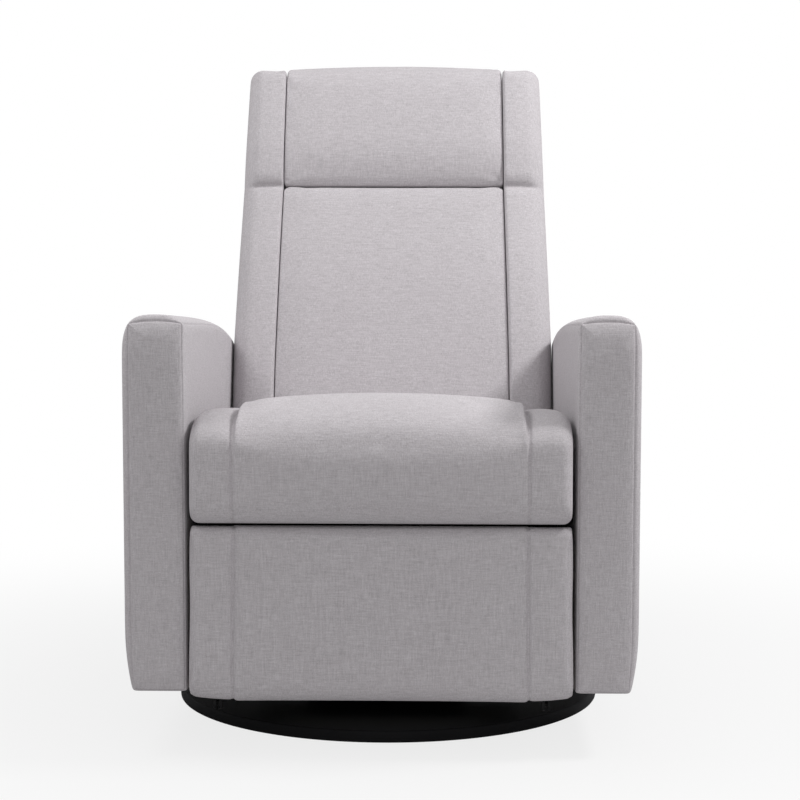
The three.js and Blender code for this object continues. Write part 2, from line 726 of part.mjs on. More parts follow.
const liftLink = sheet(linkOutline(lift, panel, linkWidth), driveLinkInnerX, driveLinkOuterX,
  [roundHole(lift.x, lift.y, linkBore), roundHole(panel.x, panel.y, linkBore)]);
placePair('lift_link', liftLink, blackSteel);

const guideLink = sheet(linkOutline(guide, panelGuide, linkWidth), guideLinkInnerX, guideLinkOuterX,
  [roundHole(guide.x, guide.y, linkBore), roundHole(panelGuide.x, panelGuide.y, linkBore)]);
placePair('guide_link', guideLink, blackSteel);

// Footrest: brackets, board and pad
const boardBackY = -footrestBackF;
const boardFrontY = boardBackY - footrestBoardThickness;
const bracketBackY = boardBackY + contactGap;
const bracketOutline = rectangle(bracketBackY, panel.x + bracketReach, panelGuide.y - bracketReach,
  panel.y + bracketReach);
const bracketFlange = block(bracketOuterX - bracketFlangeWidth, bracketOuterX, bracketBackY,
  bracketBackY + bracketThickness, panelGuide.y - bracketReach, panel.y + bracketReach);
const footrestBracket = joined(
  sheet(bracketOutline, bracketInnerX, bracketOuterX),
  bracketFlange,
  pin(panel.x, panel.y, linkPinRadius, bracketInnerX, driveLinkOuterX),
  pin(panelGuide.x, panelGuide.y, linkPinRadius, bracketInnerX, guideLinkOuterX),
);
placePair('footrest_bracket', footrestBracket, blackSteel);

const boardHalf = footrestHalfWidth - footrestBoardInset;
place('footrest_board', block(-boardHalf, boardHalf, boardFrontY, boardBackY,
  footrestBottom + footrestBoardInset, footrestTop - footrestBoardInset), plywood);

// Shares across a padded width that has a seam on each side of its middle panel
function seamShares(halfWidthOfForm, radius, seam, reach, middleCount) {
  const flat = halfWidthOfForm - radius;
  const lines = [seam + reach, seam, seam - reach].filter((x) => x < flat);
  const outer = lines.map((x) => (flat - x) / (2 * flat));
  const inner = evenShares(middleCount).map((share) => THREE.MathUtils.lerp(outer.at(-1), 1 - outer.at(-1), share));
  return [...outer, ...inner, ...outer.map((share) => 1 - share).reverse()];
}

const seamReach = 12;
const footrestPadBackY = boardFrontY - contactGap;
const footrestPad = paddedForm(
  stations(-footrestHalfWidth, footrestHalfWidth, footrestEdgeRadius,
    seamShares(footrestHalfWidth, footrestEdgeRadius, footrestSeamX, seamReach, 3)),
  stations(-footrestFrontF, footrestPadBackY, footrestEdgeRadius, []),
  stations(footrestBottom, footrestTop, footrestEdgeRadius, evenShares(3)),
  footrestEdgeRadius,
  (point) => {
    const frontShare = (footrestPadBackY - point.y) / (footrestPadBackY + footrestFrontF);
    const seam = seamPull(Math.abs(point.x) - footrestSeamX, seamReach);
    const crown = crownAt(point.x, -footrestHalfWidth, footrestHalfWidth)
      * crownAt(point.z, footrestBottom, footrestTop);
    const heightShare = (point.z - footrestBottom) / (footrestTop - footrestBottom);
    const sideShare = Math.abs(point.x) / footrestHalfWidth;
    const endRise = footrestEndRise * (1 - heightShare) * sideShare ** 2;
    const y = point.y + frontShare * (footrestCrown * (1 - crown) + footrestSeamDip * seam);
    return new THREE.Vector3(point.x, y, point.z + endRise);
  },
);
place('footrest_pad', footrestPad, cloth);

// Seat: rails that slide on the tracks, two cross tubes, a sprung deck and the cushion
const seatRailOuterX = sidePlateOuterX + trackWidth - contactGap;
const seatRailInnerX = seatRailOuterX - seatRailWidth;
const backPostOuterX = seatRailInnerX - reclineBracketGap - reclineBracketThickness - contactGap;
const seatRailRearY = reclinePivotY + reclineBracketRadius;
const seatRailFrontY = boardBackY + seatTravel + seatTravelMargin;
const seatFrontTubeY = seatRailFrontY + seatFrontTubeSetback;
const seatRail = sheet(rectangle(seatRailFrontY, seatRailRearY, seatRailBottom, seatRailTop),
  seatRailInnerX, seatRailOuterX, [roundHole(reclinePivotY, reclinePivotZ, reclinePinRadius + pinClearance)]);
placePair('seat_rail', seatRail, blackSteel);
const seatTubeEnd = seatRailInnerX - contactGap;
const seatTubeZ = seatRailTop - seatTubeSection / 2;
for (const [end, y] of [['front', seatFrontTubeY], ['rear', seatRearTubeY]]) {
  const tube = squareTube(y, seatTubeZ, seatTubeSection, carriageTubeWall, -seatTubeEnd, seatTubeEnd);
  place(`seat_tube_${end}`, tube, blackSteel);
}
place('seat_deck', block(-seatTubeEnd, seatTubeEnd, seatRailFrontY, deckRearY, deckZ, deckZ + deckThickness), webbing);

const leanSlope = Math.tan(backLean);
const seatRearTopY = backFootY + (seatFrontTop - backFootZ) * leanSlope - backPadGap;
const seatLength = seatRearTopY - seatFrontY;
const waterfallShare = 0.3;
const seatCushion = paddedForm(
  stations(-seatHalfWidth, seatHalfWidth, seatEdgeRadius,
    seamShares(seatHalfWidth, seatEdgeRadius, seatSeamX, seamReach, 5)),
  stations(seatFrontY, seatRearTopY, seatEdgeRadius, evenShares(6)),
  stations(seatBottom, seatFrontTop, seatEdgeRadius, evenShares(2)),
  seatEdgeRadius,
  (point) => {
    const depthShare = (point.y - seatFrontY) / seatLength;
    const heightShare = (point.z - seatBottom) / (seatFrontTop - seatBottom);
    const outside = THREE.MathUtils.smoothstep(Math.abs(point.x), seatSeamX - seamReach, seatSeamX + seamReach);
    const seam = seamPull(Math.abs(point.x) - seatSeamX, seamReach);
    const slope = (seatFrontTop - seatRearTop) * depthShare;
    const frontFall = seatWaterfall * Math.max(0, 1 - depthShare / waterfallShare) ** 2;
    const crown = seatCrown * (1 - crownAt(point.x, -seatSeamX, seatSeamX)) * (1 - outside);
    const drop = slope + frontFall + crown + seatBolsterDrop * outside + seatSeamDip * seam;
    const z = point.z - drop * heightShare;
    const rearShift = (seatFrontTop - z) * leanSlope * depthShare;
    const frontPull = (1 - depthShare) ** 4 * (seatFrontBulge * (1 - crownAt(point.z, seatBottom, seatFrontTop))
      + seatSeamDip * seam);
    const sides = 1 - seatDrawIn / seatHalfWidth * crownAt(point.y, seatFrontY, seatRearTopY);
    return new THREE.Vector3(point.x * sides, point.y + frontPull - rearShift, z);
  },
);
place('seat_cushion', seatCushion, cloth);

// Back: everything below is drawn upright in the leaned frame, y as w and z as v
const back = new THREE.Group();
back.position.set(0, backFootY, backFootZ);
back.rotation.x = -backLean;
chair.add(back);

const postInner = backPostOuterX - backPostWidth;
const frameFrontW = padDepth + contactGap;
const frameRearW = frameFrontW + backPostDepth;
const backPost = block(postInner, backPostOuterX, frameFrontW, frameRearW, backPostBottomV, backPostTopV);
placePair('back_post', backPost, plywood, back);
const railEnd = postInner - contactGap;
const railPlaces = [['lower', backLowerRailV], ['upper', backPostTopV - backRailHeight]];
for (const [level, v] of railPlaces) {
  place(`back_rail_${level}`, block(-railEnd, railEnd, frameFrontW, frameRearW, v, v + backRailHeight),
    plywood, back);
}

// The recline brackets are screwed to the posts and turn on the seat rails
const footDropY = reclinePivotY - backFootY;
const footDropZ = reclinePivotZ - backFootZ;
const pivotW = footDropY * Math.cos(backLean) - footDropZ * Math.sin(backLean);
const pivotV = footDropY * Math.sin(backLean) + footDropZ * Math.cos(backLean);
const bracketInner = backPostOuterX + contactGap;
const bracketOutlineBack = new THREE.Shape();
bracketOutlineBack.moveTo(frameFrontW, reclineBracketTopV);
bracketOutlineBack.absarc(pivotW, pivotV, reclineBracketRadius, Math.PI, 1.75 * Math.PI, false);
bracketOutlineBack.lineTo(frameRearW, pivotV + reclineBracketRadius);
bracketOutlineBack.lineTo(frameRearW, reclineBracketTopV);
bracketOutlineBack.closePath();
const reclineBracket = joined(
  sheet(bracketOutlineBack, bracketInner, bracketInner + reclineBracketThickness),
  pin(pivotW, pivotV, reclinePinRadius, bracketInner, seatRailOuterX),
);
placePair('recline_bracket', reclineBracket, zincSteel, back);

function padHalfWidthAt(v) {
  return THREE.MathUtils.mapLinear(v, lowerPadBottomV, headPadTopV, lowerPadHalfWidth, headPadTopHalfWidth);
}

// One of the two middle pads of the back, tapered in width with the back itself
function backPad(bottomV, topV, crown, topSet) {
  return paddedForm(
    stations(-lowerPadHalfWidth, lowerPadHalfWidth, padEdgeRadius, evenShares(4)),
    stations(0, padDepth, padEdgeRadius, []),
    stations(bottomV, topV, padEdgeRadius, evenShares(3)),
    padEdgeRadius,
    (point) => {
      const frontShare = 1 - point.y / padDepth;
      const swell = crownAt(point.x, -lowerPadHalfWidth, lowerPadHalfWidth) * crownAt(point.z, bottomV, topV);
      const topShare = Math.max(0, (point.z - bottomV) / (topV - bottomV));
      const w = point.y + frontShare * (crown * (1 - swell) + topSet * topShare ** 4);
      return new THREE.Vector3(point.x * padHalfWidthAt(point.z) / lowerPadHalfWidth, w, point.z);
    },
  );
}
place('back_lower_pad', backPad(lowerPadBottomV, lowerPadTopV - backPadGap, padCrown, 0), cloth, back);
place('head_pad', backPad(lowerPadTopV, headPadTopV, headPadCrown, headPadTopSet), cloth, back);

// Side wings: they wrap the posts, and pinch in at the height of the seam between the two pads
function wingOuterAt(v) {
  const taper = Math.max(0, (v - wingTaperStartV) / (wingTopV - wingTaperStartV));
  return THREE.MathUtils.lerp(wingOuterX, wingTopOuterX, taper);
}
const wing = paddedForm(
  stations(wingInnerX, wingOuterX, wingEdgeRadius, [0.5]),
  stations(0, wingDepth, wingEdgeRadius, [0.5]),
  stations(wingBottomV, wingTopV, wingEdgeRadius, evenShares(8)),
  wingEdgeRadius,
  (point) => {
    const across = (point.x - wingInnerX) / (wingOuterX - wingInnerX);
    const frontShare = 1 - point.y / wingDepth;
    const tuck = wingTuckDepth * seamPull(point.z - wingTuckV, wingTuckHeight);
    const outer = wingOuterAt(point.z);
    const inner = padHalfWidthAt(point.z) + backPadGap;
    const w = point.y + frontShare * (wingFrontSet + wingFrontSweep * across * across + tuck);
    return new THREE.Vector3(THREE.MathUtils.lerp(inner, outer, across), w, point.z);
  },
);
const postSpace = block(postInner - contactGap, backPostOuterX + contactGap, frameFrontW - contactGap,
  frameRearW + contactGap, wingBottomV - cutOverrun, backPostTopV + contactGap);
const railSpaces = railPlaces.map(([, v]) => (
  block(0, postInner, frameFrontW - contactGap, frameRearW + contactGap, v - contactGap,
    v + backRailHeight + contactGap)));
placePair('back_wing', cut(wing, postSpace, ...railSpaces), cloth, back);

const outsideBackFrontW = wingDepth + contactGap;
const outsideBackRearW = outsideBackFrontW + outsideBackThickness;
const outsideBack = paddedForm(
  stations(-wingOuterX + outsideBackInset, wingOuterX - outsideBackInset, outsideBackEdgeRadius, evenShares(3)),
  stations(outsideBackFrontW, outsideBackRearW, outsideBackEdgeRadius, []),
  stations(outsideBackBottomV, outsideBackTopV, outsideBackEdgeRadius, evenShares(3)),
  outsideBackEdgeRadius,
  (point) => {
    const rearShare = (point.y - outsideBackFrontW) / outsideBackThickness;
    const footShare = (outsideBackTopV - point.z) / (outsideBackTopV - outsideBackBottomV);
    const extra = (outsideBackFootThickness - outsideBackThickness) * footShare;
    const width = (wingOuterAt(point.z) - outsideBackInset) / (wingOuterX - outsideBackInset);
    return new THREE.Vector3(point.x * width, point.y + rearShare * extra, point.z);
  },
);
place('outside_back', outsideBack, cloth, back);

export default chair;
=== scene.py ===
"""Swivel glider recliner in light grey woven cloth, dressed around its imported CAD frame.

Metres, +Z up. The origin is on the floor under the swivel axis and the sitter faces -Y.
Left and right are the sides seen by someone who stands in front of the chair: left is -X.
"""

import math

import bpy
import numpy as np
from mathutils import Matrix, Vector


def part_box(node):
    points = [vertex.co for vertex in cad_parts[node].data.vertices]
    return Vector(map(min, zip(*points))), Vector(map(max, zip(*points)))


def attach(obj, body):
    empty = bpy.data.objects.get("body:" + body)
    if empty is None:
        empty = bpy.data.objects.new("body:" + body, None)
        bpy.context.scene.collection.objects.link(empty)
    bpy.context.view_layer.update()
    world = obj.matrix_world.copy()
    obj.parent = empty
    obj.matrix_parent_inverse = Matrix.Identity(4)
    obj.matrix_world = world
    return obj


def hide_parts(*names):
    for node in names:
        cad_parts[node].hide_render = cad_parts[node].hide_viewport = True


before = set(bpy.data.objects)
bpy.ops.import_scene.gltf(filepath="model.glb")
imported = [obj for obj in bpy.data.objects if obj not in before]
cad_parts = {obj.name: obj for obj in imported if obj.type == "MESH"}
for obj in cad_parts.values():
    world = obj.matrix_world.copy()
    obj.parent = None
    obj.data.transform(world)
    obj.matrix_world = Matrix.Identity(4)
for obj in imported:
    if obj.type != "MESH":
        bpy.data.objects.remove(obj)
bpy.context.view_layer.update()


# Base plate: one round steel disc with a rolled rim, powder coated satin black. It lies on a
# rubber ring and carries the swivel; from the front it is the only part of the base that shows.
disc_radius = 0.342
disc_bottom = 0.0008
disc_thickness = 0.0185
disc_rim_round = 0.0028
ring_outer = 0.3303
ring_inner = 0.3057
ring_groove_top = 0.0033
underside_area = 0.1


def srgb(hex_colour):
    """The linear colour of a hex string."""
    parts = [int(hex_colour[i:i + 2], 16) / 255 for i in (0, 2, 4)]
    return [p / 12.92 if p <= 0.04045 else ((p + 0.055) / 1.055) ** 2.4 for p in parts] + [1]


def new_material(name, **sockets):
    """A new material with these values in its shader, the shader, and its Object coordinates."""
    material = bpy.data.materials.new(name)
    material.use_nodes = True
    shader = material.node_tree.nodes["Principled BSDF"]
    for socket, value in sockets.items():
        shader.inputs[socket.replace("_", " ")].default_value = value
    return material, shader, add_node(material, "ShaderNodeTexCoord").outputs["Object"]


def add_node(material, kind, inputs=None, **settings):
    """Adds a node with its settings, and sets or links its inputs."""
    node = material.node_tree.nodes.new(kind)
    for name, value in settings.items():
        setattr(node, name, value)
    for name, value in (inputs or {}).items():
        if isinstance(value, bpy.types.NodeSocket):
            material.node_tree.links.new(value, node.inputs[name])
        else:
            node.inputs[name].default_value = value
    return node


def blend_colours(material, share, first, second):
    """The socket of a blend of two colours, from the first at share 0 to the second at 1."""
    blend = add_node(material, "ShaderNodeMix", {0: share, 6: first, 7: second}, data_type="RGBA")
    return blend.outputs[2]


def link_look(material, shader, tone, height, strength, relief):
    """Links the colour, and a bump of this strength and depth, to the shader."""
    bump = add_node(material, "ShaderNodeBump", {
        "Height": height, "Strength": strength, "Distance": relief})
    material.node_tree.links.new(tone, shader.inputs["Base Color"])
    material.node_tree.links.new(bump.outputs[0], shader.inputs["Normal"])


def fine_finish(name, light, dark, grain, relief, **sockets):
    """Paint, plating, rubber or plastic: two close tones that drift over centimetres, a fine
    surface grain, and a roughness that goes up and down with the grain."""
    material, shader, place = new_material(name, **sockets)
    drift = add_node(material, "ShaderNodeTexNoise", {"Vector": place, "Scale": 9, "Detail": 3})
    peel = add_node(material, "ShaderNodeTexNoise", {
        "Vector": place, "Scale": 1 / grain, "Detail": 2})
    roughness_drift = 0.06
    gloss = add_node(material, "ShaderNodeMapRange", {
        "Value": peel.outputs["Fac"], "To Min": sockets["Roughness"] - roughness_drift,
        "To Max": sockets["Roughness"] + roughness_drift})
    material.node_tree.links.new(gloss.outputs[0], shader.inputs["Roughness"])
    tone = blend_colours(material, drift.outputs["Fac"], srgb(dark), srgb(light))
    link_look(material, shader, tone, peel.outputs["Fac"], strength=0.4, relief=relief)
    return material


def activate(piece):
    """Makes a piece the only selected object."""
    bpy.ops.object.select_all(action="DESELECT")
    piece.select_set(True)
    bpy.context.view_layer.objects.active = piece


def fit_out(piece, material, body, slot, *nodes):
    """Gives a finished piece its material and body, and the CAD nodes that it stands for. The slot
    is not used.
    """
    piece.data.materials.clear()
    piece.data.materials.append(material)
    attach(piece, body)
    if nodes:
        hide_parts(*nodes)


def dress(material, *nodes):
    """Gives CAD nodes, which stay as they are, their finish."""
    for node in nodes:
        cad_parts[node].material_slots[0].material = material


# Powder coat shows a soft orange peel, about 1.5 mm across, and a dull satin shine.
powder_black = fine_finish("satin_black_powder_coat", "232325", "1a1a1b", 0.0015, 0.00006,
                           Roughness=0.6, Specular_IOR_Level=0.06)

bpy.ops.object.select_all(action="DESELECT")
bpy.ops.mesh.primitive_cylinder_add(vertices=192, radius=disc_radius, depth=disc_thickness,
                                    location=(0, 0, disc_bottom + disc_thickness / 2))
base = bpy.context.object
base.name = "base_plate"
bpy.ops.object.transform_apply(location=True, rotation=True, scale=True)
rim = base.modifiers.new("Rim", "BEVEL")
rim.width = disc_rim_round
rim.segments = 4
rim.limit_method = "ANGLE"
activate(base)
bpy.ops.object.modifier_apply(modifier="Rim")
bpy.ops.object.mode_set(mode="EDIT")
bpy.ops.mesh.select_mode(type="FACE")
bpy.ops.mesh.select_all(action="DESELECT")
bpy.ops.object.mode_set(mode="OBJECT")
for face in base.data.polygons:
    face.select = face.normal.z < -0.9 and face.area > underside_area
bpy.ops.object.mode_set(mode="EDIT")
bpy.ops.mesh.inset(thickness=disc_radius - disc_rim_round - ring_outer)
bpy.ops.mesh.inset(thickness=ring_outer - ring_inner)
bpy.ops.object.mode_set(mode="OBJECT")
for face in base.data.polygons:
    middle = math.hypot(face.center.x, face.center.y)
    face.select = face.normal.z < -0.9 and ring_inner < middle < ring_outer
bpy.ops.object.mode_set(mode="EDIT")
bpy.ops.mesh.extrude_region_move(
    TRANSFORM_OT_translate={"value": (0, 0, ring_groove_top - disc_bottom)})
bpy.ops.mesh.select_all(action="SELECT")
bpy.ops.mesh.normals_make_consistent(inside=False)
bpy.ops.object.mode_set(mode="OBJECT")
bpy.ops.object.shade_smooth_by_angle(angle=math.radians(35))
fit_out(base, powder_black, "base", "black_paint", "base_disc")

# Floor ring: a flat ring of black rubber under the disc, so that the steel doesn't mark the floor.
rubber_black = fine_finish("black_rubber", "232323", "161616", 0.0008, 0.00008, Roughness=0.82)
dress(rubber_black, "floor_ring")

# Swivel: two pressed plates with a ring of balls between them. The lower plate is bolted to the
# disc and zinc plated, dull silver with a trace of yellow; the upper one is painted black.
zinc_plate = fine_finish("zinc_plated_steel", "b6b6b3", "8d8e8c", 0.0011, 0.00004,
                         Metallic=1.0, Roughness=0.38)
dress(zinc_plate, "swivel_lower_plate", "ball_ring")

# Turntable and glide: black steel bars and posts welded to the upper swivel plate, and four zinc
# plated swing links that hang from the posts and carry the chair.
black_steel = fine_finish("black_painted_steel", "1e1e20", "141415", 0.0012, 0.00005,
                          Roughness=0.5, Specular_IOR_Level=0.2)
glide_corners = ("front_left", "front_right", "rear_left", "rear_right")
dress(black_steel, "swivel_upper_plate", "turntable_bar_front", "turntable_bar_rear",
      *(f"glide_post_{corner}" for corner in glide_corners))
dress(zinc_plate, *(f"glide_link_{corner}" for corner in glide_corners))

# Carriage: two square steel tubes on two rails, and a zinc plated side plate on each side that
# holds the footrest linkage and the seat tracks.
dress(black_steel, "carriage_rail_left", "carriage_rail_right", "carriage_tube_front",
      "carriage_tube_rear")
dress(zinc_plate, "side_plate_left", "side_plate_right")


# Arm cores: the plywood boards inside the arms, screwed to the cross tubes.
def birch_plywood():
    """Birch plywood: pale brown veneer with long grain along the chair and darker pores."""
    material, shader, place = new_material("birch_plywood", Roughness=0.62)
    along = add_node(material, "ShaderNodeMapping", {"Vector": place, "Scale": (60, 6, 60)})
    grain = add_node(material, "ShaderNodeTexNoise", {
        "Vector": along.outputs[0], "Scale": 4, "Detail": 6})
    tone = blend_colours(material, grain.outputs["Fac"], srgb("9c7650"), srgb("cfa878"))
    link_look(material, shader, tone, grain.outputs["Fac"], strength=0.3, relief=0.0002)
    return material


plywood = birch_plywood()
dress(plywood, "arm_core_left", "arm_core_right")

# Arms: a cloth cover over foam on the plywood core. A front panel is sewn to a band of three
# strips that runs over the arm: outer side, top and inner side. The right cover is made and then
# mirrored, and the left one is cut out for the release cup. u is the offset from the arm's middle.
arm_centre_x = 0.3282
arm_half_width = 0.0465
arm_front_y = -0.418
arm_rear_y = 0.305
arm_bottom_z = 0.0928
arm_crest_z = 0.6450
arm_crest_falls = (0.0475, 0.036)
arm_scale_from_z = 0.45
arm_outer_shoulder = 0.064
arm_inner_shoulder = 0.034
arm_outer_power = 2.95
arm_inner_power = 2.9
arm_foot_inner_u = -0.040
arm_foot_outer_u = 0.031
arm_foot_taper = 0.011
arm_foot_taper_height = 0.090
arm_foot_corner = 0.003
arm_foot_corner_height = 0.006
arm_front_round = 0.022
arm_rear_press = 0.0012
arm_seam_outer_u = 0.0360
arm_seam_inner_u = -0.0425
arm_seam_inner_low_u = -0.0438
arm_seam_middle_u = -0.0040
arm_seam_arch_half = 0.038
arm_seam_corner_z = 0.6320
arm_seam_middle_z = 0.6352
arm_seam_foot_outer_u = 0.029
arm_seam_foot_inset = 0.003
arm_seam_foot_rise = 0.0035
arm_seam_side_rise = 0.0045
arm_seam_set_back = 0.0006
arm_seam_taper_share = 0.45
arm_seam_depth = 0.0034
arm_strip_seam_depth = 0.0017
arm_panel_roll = 0.0042
arm_panel_spine = (0.14, 0.60)
arm_top_roll = 0.009
arm_top_roll_below_crest = 0.068
arm_top_roll_height = 0.058
arm_rear_round_start = 0.026
arm_rear_round_depth = 0.024
arm_rear_side_round = 0.010
arm_rear_top_round = 0.030
arm_rear_fullness = 0.0005
arm_rear_spine = (0.14, 0.53)


def woven_cloth():
    """Plain woven upholstery of heathered yarn: matt, a little fuzzy, light grey with a trace of
    mauve. Yarns are 0.9 mm apart in the real cloth; they are drawn 1.6 mm apart, or they would
    not show, with thick and thin places 15 to 30 mm long. One set of yarns runs along each axis,
    so that two sets cross on every face."""
    material, shader, place = new_material(
        "woven_grey_cloth", Roughness=0.92, Specular_IOR_Level=0.18, Sheen_Weight=0.12,
        Sheen_Roughness=0.45)
    yarn_pitch, yarn_run = 0.0016, 0.018
    fine, long_run = 1 / yarn_pitch, 1 / yarn_run
    yarns = []
    for scale in ((long_run, fine, fine), (fine, long_run, fine), (fine, fine, long_run)):
        stretch = add_node(material, "ShaderNodeMapping", {"Vector": place, "Scale": scale})
        yarn = add_node(material, "ShaderNodeTexNoise", {
            "Vector": stretch.outputs[0], "Scale": 1, "Detail": 2, "Roughness": 0.6})
        yarns.append(yarn.outputs["Fac"])
    weave = add_node(material, "ShaderNodeMath", {0: yarns[0], 1: yarns[1]}, operation="ADD")
    heather = add_node(material, "ShaderNodeMath", {0: weave.outputs[0], 1: yarns[2]},
                       operation="ADD")
    share = add_node(material, "ShaderNodeMapRange", {
        "Value": heather.outputs[0], "From Min": 1.0, "From Max": 2.0})
    yarn_tone = blend_colours(material, share.outputs[0], srgb("a39ea1"), srgb("cbc7ca"))
    drift = add_node(material, "ShaderNodeTexNoise", {"Vector": place, "Scale": 7, "Detail": 2})
    drift_share = add_node(material, "ShaderNodeMapRange", {
        "Value": drift.outputs["Fac"], "From Min": 0.3, "From Max": 0.7,
        "To Min": 0, "To Max": 0.10})
    tone = blend_colours(material, drift_share.outputs[0], yarn_tone, srgb("b2aaae"))
    link_look(material, shader, tone, heather.outputs[0], strength=0.35, relief=0.0006)
    return material


cloth = woven_cloth()


def points(piece):
    """The places of a mesh's vertices as an array."""
    places = np.zeros(len(piece.data.vertices) * 3)
    piece.data.vertices.foreach_get("co", places)
    return places.reshape(-1, 3)


def set_points(piece, places):
    """Moves a mesh's vertices to these places."""
    piece.data.vertices.foreach_set("co", np.asarray(places, float).ravel())
    piece.data.update()


def smooth_step(value, low, high):
    """0 below low and 1 above high, with a soft change between."""
    share = np.clip((np.asarray(value, float) - low) / (high - low), 0, 1)
    return share * share * (3 - 2 * share)


def bell(value, width):
    """1 at zero, falling to nothing over a few widths."""
    return np.exp(-(np.asarray(value, float) / width) ** 2)


def plump(piece, held, pressure, swell):
    """Lets the filling push the cover out between the places where it is held, by at most swell,
    which is one length or one for each point."""
    frames = 18
    rest = points(piece)
    group = piece.vertex_groups.new(name="held")
    group.add(np.flatnonzero(held).tolist(), 1, "REPLACE")
    cover = piece.modifiers.new("Cover", "CLOTH")
    cover.settings.vertex_group_mass = "held"
    cover.settings.use_pressure = True
    cover.settings.uniform_pressure_force = pressure
    cover.settings.effector_weights.gravity = 0
    for step in range(1, frames + 1):
        bpy.context.scene.frame_set(step)
    activate(piece)
    bpy.ops.object.modifier_apply(modifier="Cover")
    bpy.context.scene.frame_set(1)
    moved = points(piece) - rest
    far = np.maximum(np.linalg.norm(moved, axis=1, keepdims=True), 1e-9)
    most = np.broadcast_to(swell, len(rest)).reshape(-1, 1)
    set_points(piece, rest + moved / far * most * np.tanh(far / most))
    piece.vertex_groups.remove(piece.vertex_groups["held"])


def sew(piece, distance, depth, width):
    """Draws the cover in along a seam. distance says how far each point is from it, and is 1 for
    points that the seam doesn't touch."""
    normals = np.zeros(len(piece.data.vertices) * 3)
    piece.data.vertices.foreach_get("normal", normals)
    pull = depth * bell(distance, width)
    set_points(piece, points(piece) - normals.reshape(-1, 3) * pull[:, None])


def soften(piece):
    """Rounds the finished cover with one subdivision."""
    smooth = piece.modifiers.new("Smooth", "SUBSURF")
    smooth.levels = 1
    smooth.render_levels = 1
    activate(piece)
    bpy.ops.object.modifier_apply(modifier="Smooth")
    bpy.ops.object.shade_smooth()


def mirrored(piece, name):
    """The left-hand copy of a right-hand piece."""
    copy = piece.copy()
    copy.data = piece.data.copy()
    copy.name = name
    bpy.context.scene.collection.objects.link(copy)
    copy.data.transform(Matrix.Scale(-1, 4, (1, 0, 0)))
    copy.data.flip_normals()
    return copy


def arm_foot_corner_at(z):
    """How far the rounded bottom corners draw the arm's sides in at a height."""
    return arm_foot_corner * max(0, 1 - (z - arm_bottom_z) / arm_foot_corner_height) ** 2


def arm_sections():
    """The arm's outline seen from the front, as offsets u from its middle with heights z, and the
    matching points of the front seam. Both go round from the inner bottom corner, under the arm,
    up the outer side, over the top and down the inner side. The third list tells which points
    are on the seams between the three strips."""
    outline, seam, strip_edges = [], [], []
    for u in np.linspace(arm_foot_inner_u, arm_foot_outer_u, 8):
        outline.append((u, arm_bottom_z))
        seam.append((np.clip(u, arm_seam_inner_low_u + arm_seam_foot_inset, arm_seam_foot_outer_u),
                     arm_bottom_z + arm_seam_foot_rise))
    outer_top = arm_crest_z - arm_outer_shoulder
    heights = [arm_bottom_z + h for h in (0.0012, 0.004, 0.009, 0.018, 0.032, 0.05, 0.07, 0.09)]
    heights += list(np.linspace(arm_bottom_z + 0.12, outer_top - 0.02, 14))
    for z in heights:
        taper = arm_foot_taper * max(0, 1 - (z - arm_bottom_z) / arm_foot_taper_height) ** 2
        outline.append((arm_half_width - taper - arm_foot_corner_at(z), z))
        seam.append((arm_seam_outer_u - arm_seam_taper_share * taper,
                     max(z, arm_bottom_z + arm_seam_side_rise)))
    outer_angle, inner_angle = 46.4, 152.1
    angles = [0, 7, 15, 24, 33, 40, 44.2, outer_angle, 48.6, 53, 60, 68, 76, 84, 90, 98, 106, 114,
              122, 130, 138, 145, 149.6, inner_angle, 154.4, 158, 163, 168, 174, 180]

    def over_top(angle):
        """The outline's point over the top: 0 degrees is the outer side, 180 the inner side."""
        shoulder, power = ((arm_outer_shoulder, arm_outer_power) if angle <= 90
                           else (arm_inner_shoulder, arm_inner_power))
        across, rise = math.cos(math.radians(angle)), math.sin(math.radians(angle))
        u = math.copysign(arm_half_width * abs(across) ** (2 / power), across)
        return u, arm_crest_z - shoulder + shoulder * max(rise, 0) ** (2 / power)

    outer_corner, inner_corner = over_top(outer_angle), over_top(inner_angle)
    inner_top = arm_crest_z - arm_inner_shoulder
    for angle in angles:
        u, z = over_top(angle)
        outline.append((u, z))
        if angle <= outer_angle:
            rise = (z - outer_top) / (outer_corner[1] - outer_top)
            seam.append((arm_seam_outer_u, outer_top + rise * (arm_seam_corner_z - outer_top)))
        elif angle < inner_angle:
            along = (u - outer_corner[0]) / (inner_corner[0] - outer_corner[0])
            seam_u = arm_seam_outer_u + along * (arm_seam_inner_u - arm_seam_outer_u)
            arch = ((seam_u - arm_seam_middle_u) / arm_seam_arch_half) ** 2
            seam_z = arm_seam_middle_z - (arm_seam_middle_z - arm_seam_corner_z) * arch
            seam.append((seam_u, seam_z))
        else:
            rise = (z - inner_top) / (inner_corner[1] - inner_top)
            seam_z = inner_top + rise * (arm_seam_corner_z - inner_top)
            seam.append((arm_seam_inner_u, seam_z))
        strip_edges.append(angle in (outer_angle, inner_angle))
    start = len(outline) - len(strip_edges)
    sewn = [False] * start + strip_edges
    heights = list(np.linspace(inner_top - 0.02, arm_bottom_z + 0.06, 18))
    heights += [arm_bottom_z + h for h in (0.035, 0.018, 0.009, 0.004, 0.0012)]
    for z in heights:
        outline.append((-arm_half_width + arm_foot_corner_at(z), z))
        low = smooth_step(inner_top - z, 0, 0.08)
        seam.append((arm_seam_inner_u + float(low) * (arm_seam_inner_low_u - arm_seam_inner_u),
                     max(z, arm_bottom_z + arm_seam_side_rise)))
        sewn.append(False)
    return np.array(outline), np.array(seam), np.array(sewn)


